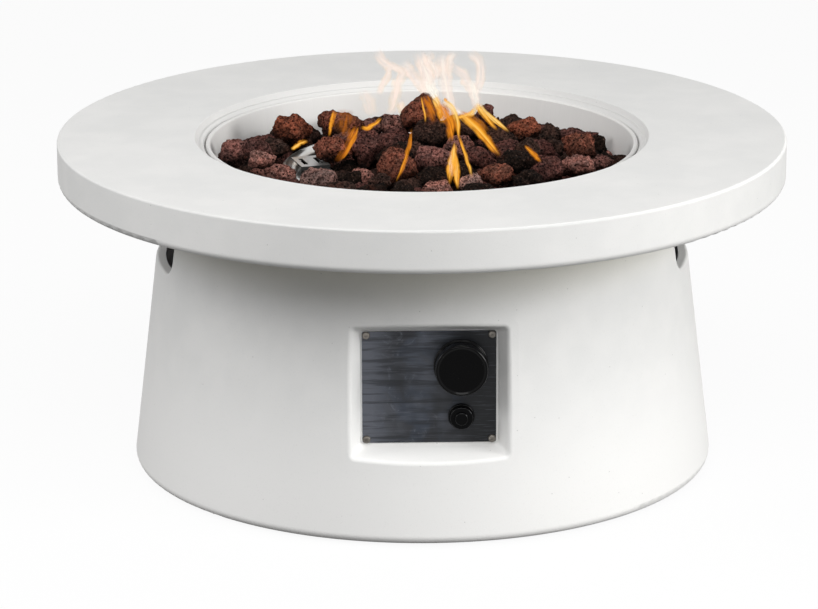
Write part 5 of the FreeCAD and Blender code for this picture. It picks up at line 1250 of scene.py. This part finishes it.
class FIREPIT_OT_panel_screws(bpy.types.Operator):
    """Cross-recess pan-head screws at the plate's corners"""
    bl_idname = "firepit.panel_screws"
    bl_label = "Plate screws"

    def execute(self, context):
        low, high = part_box("panel_screws")
        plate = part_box("control_panel")[0].y
        rise, reach = (plate - low.y) / MM, (high.y - plate) / MM
        profile = [
            (0, -reach, 0), (SCREW_SHANK, -reach, 0.4), (SCREW_SHANK, 0, 0), (SCREW_HEAD, 0, 0),
            (SCREW_HEAD, rise * 0.35, 0.3), (SCREW_HEAD * 0.78, rise * 0.86, 1.0), (0, rise, 0)]
        mesh = lathe_mesh("plate screw", profile, (0, 0, 0), FRONT, around=72, steps=5)
        cross = self.cross_mesh(rise, context.scene.firepit_sizes.recess_depth)
        screw = carved("screw blank", mesh, cross)
        middle = (low + high) / 2
        screws = grid_of_copies().make("panel_screw_set", screw, "screw_steel", {
            "Width": high.x - low.x - 2 * SCREW_HEAD * MM, "Height": high.z - low.z - 2 * SCREW_HEAD * MM,
            "Middle": Vector((middle.x, plate, middle.z)), "Turn seed": SCREW_SEED})
        add_piece("panel_screw_set", screws, "table", "zinc", ["panel_screws"], "screw_steel")
        return {"FINISHED"}

    def cross_mesh(self, rise, depth):
        """Two crossed wedges that taper inwards."""
        mesh = bpy.data.meshes.new("cross")
        with edited(mesh) as work:
            for turn in (0, 90):
                arm = bmesh.ops.create_cube(work, size=1.0)["verts"]
                for v in arm:
                    inner = v.co.y > 0
                    long, wide = CROSS_FLOOR if inner else CROSS_MOUTH
                    v.co.x *= SCREW_HEAD * long
                    v.co.z *= SCREW_HEAD * wide
                    v.co.y = (depth / MM - rise) if inner else -rise - 1.0
                bmesh.ops.rotate(work, verts=arm, matrix=Matrix.Rotation(math.radians(turn), 3, "Y"))
            bmesh.ops.scale(work, verts=work.verts, vec=(MM, MM, MM))
            bmesh.ops.recalc_face_normals(work, faces=work.faces)
        return mesh


class FIREPIT_OT_knob(bpy.types.Operator):
    """Glossy control knob with a skirt and a dished face"""
    bl_idname = "firepit.knob"
    bl_label = "Knob"

    def execute(self, context):
        low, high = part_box("control_knob")
        middle = Vector(((low.x + high.x) / 2, high.y, (low.z + high.z) / 2))
        dish = context.scene.firepit_sizes.knob_dish / MM
        length = (high.y - low.y) / MM
        skirt, face = (high.x - low.x) / 2 / MM, KNOB_FACE
        profile = [
            (0, 3.0, 0), (KNOB_BORE, 3.0, 0.5), (KNOB_BORE, 8.0, 0.5), (KNOB_HOLLOW, 8.0, 1.0),
            (KNOB_HOLLOW, 0.0, 0.6), (skirt, 0.0, 0.6), (skirt, 3.6, 1.2), (face - 1.2, 4.4, 0.8),
            (face - 0.2, 6.0, 0.8), (face, length - 0.2, 1.8), (face - 2.2, length, 0.7),
            (face - 4.6, length - dish, 1.4), (0, length - dish * 1.25, 0)]
        mesh = lathe_mesh("knob_grip", profile, middle, FRONT, around=144, steps=7)
        mesh = carved("knob blank", mesh, self.index_mesh(middle, skirt * MM))
        add_piece("knob_grip", mesh, "knob", "black_gloss", ["control_knob"])
        return {"FINISHED"}

    def index_mesh(self, middle, radius):
        """Block for the short index groove at the top of the skirt."""
        mesh = bpy.data.meshes.new("index")
        size = (GROOVE_WIDE, GROOVE_LONG + GROOVE_PAST, GROOVE_DEEP + GROOVE_PAST)
        spot = Vector((0, (GROOVE_PAST - GROOVE_LONG) / 2, radius + (GROOVE_PAST - GROOVE_DEEP) / 2))
        with edited(mesh) as work:
            bmesh.ops.create_cube(work, size=1.0)
            bmesh.ops.scale(work, verts=work.verts, vec=size)
            bmesh.ops.translate(work, verts=work.verts, vec=middle + spot)
        return mesh


class FIREPIT_OT_igniter(bpy.types.Operator):
    """Push igniter: ring, button, case, spring and battery"""
    bl_idname = "firepit.igniter"
    bl_label = "Igniter"

    def execute(self, context):
        dress("igniter_body", "igniter_nut", "igniter_battery", "battery_contact", "igniter_bezel",
              "igniter_button")
        pressed_spring("button_spring", "igniter_spring")
        return {"FINISHED"}


class FIREPIT_OT_lava_stones(bpy.types.Operator):
    """Rough porous stones in the bowl"""
    bl_idname = "firepit.lava_stones"
    bl_label = "Lava stones"

    def execute(self, context):
        sizes = context.scene.firepit_sizes
        levels = sizes.stone_levels
        for layer, seed in STONE_SEEDS.items():
            rock_piece(f"rocks_{layer}", f"lava_stones_{layer}", seed, levels, sizes)
        return {"FINISHED"}


class FIREPIT_OT_flames(bpy.types.Operator):
    """Flames between the stones"""
    bl_idname = "firepit.flames"
    bl_label = "Flames"

    def execute(self, context):
        if context.scene.firepit_sizes.lit:
            piece = add_piece("flames", flame_mesh("flames"), "table", finish="flame")
            piece.visible_shadow = False
        return {"FINISHED"}


OPERATORS = (
    FIREPIT_OT_stage, FIREPIT_OT_finishes, FIREPIT_OT_cast_parts, FIREPIT_OT_top_fastening,
    FIREPIT_OT_feet, FIREPIT_OT_hose_way, FIREPIT_OT_bowl, FIREPIT_OT_burner, FIREPIT_OT_pilot,
    FIREPIT_OT_valve, FIREPIT_OT_panel, FIREPIT_OT_panel_screws, FIREPIT_OT_knob, FIREPIT_OT_igniter,
    FIREPIT_OT_lava_stones, FIREPIT_OT_flames,
)


class FIREPIT_PT_pieces(bpy.types.Panel):
    """Lists the settings and the pieces"""
    bl_idname = "FIREPIT_PT_pieces"
    bl_label = "Fire Pit Table"
    bl_space_type = "VIEW_3D"
    bl_region_type = "UI"
    bl_category = "Fire Pit"

    def draw(self, context):
        for group in (context.scene.firepit_sizes, context.scene.firepit_colours):
            for name in group.__annotations__:
                self.layout.prop(group, name)
        for operator in OPERATORS:
            self.layout.operator(operator.bl_idname)


CLASSES = (FirePitSizes, FirePitColours, *OPERATORS, FIREPIT_PT_pieces)


def register():
    for item in CLASSES:
        bpy.utils.register_class(item)
    bpy.types.Scene.firepit_sizes = PointerProperty(type=FirePitSizes)
    bpy.types.Scene.firepit_colours = PointerProperty(type=FirePitColours)


def unregister():
    del bpy.types.Scene.firepit_colours
    del bpy.types.Scene.firepit_sizes
    for item in reversed(CLASSES):
        bpy.utils.unregister_class(item)


def main():
    register()
    for operator in OPERATORS:
        group, name = operator.bl_idname.split(".")
        getattr(getattr(bpy.ops, group), name)()


if __name__ == "__main__":
    main()
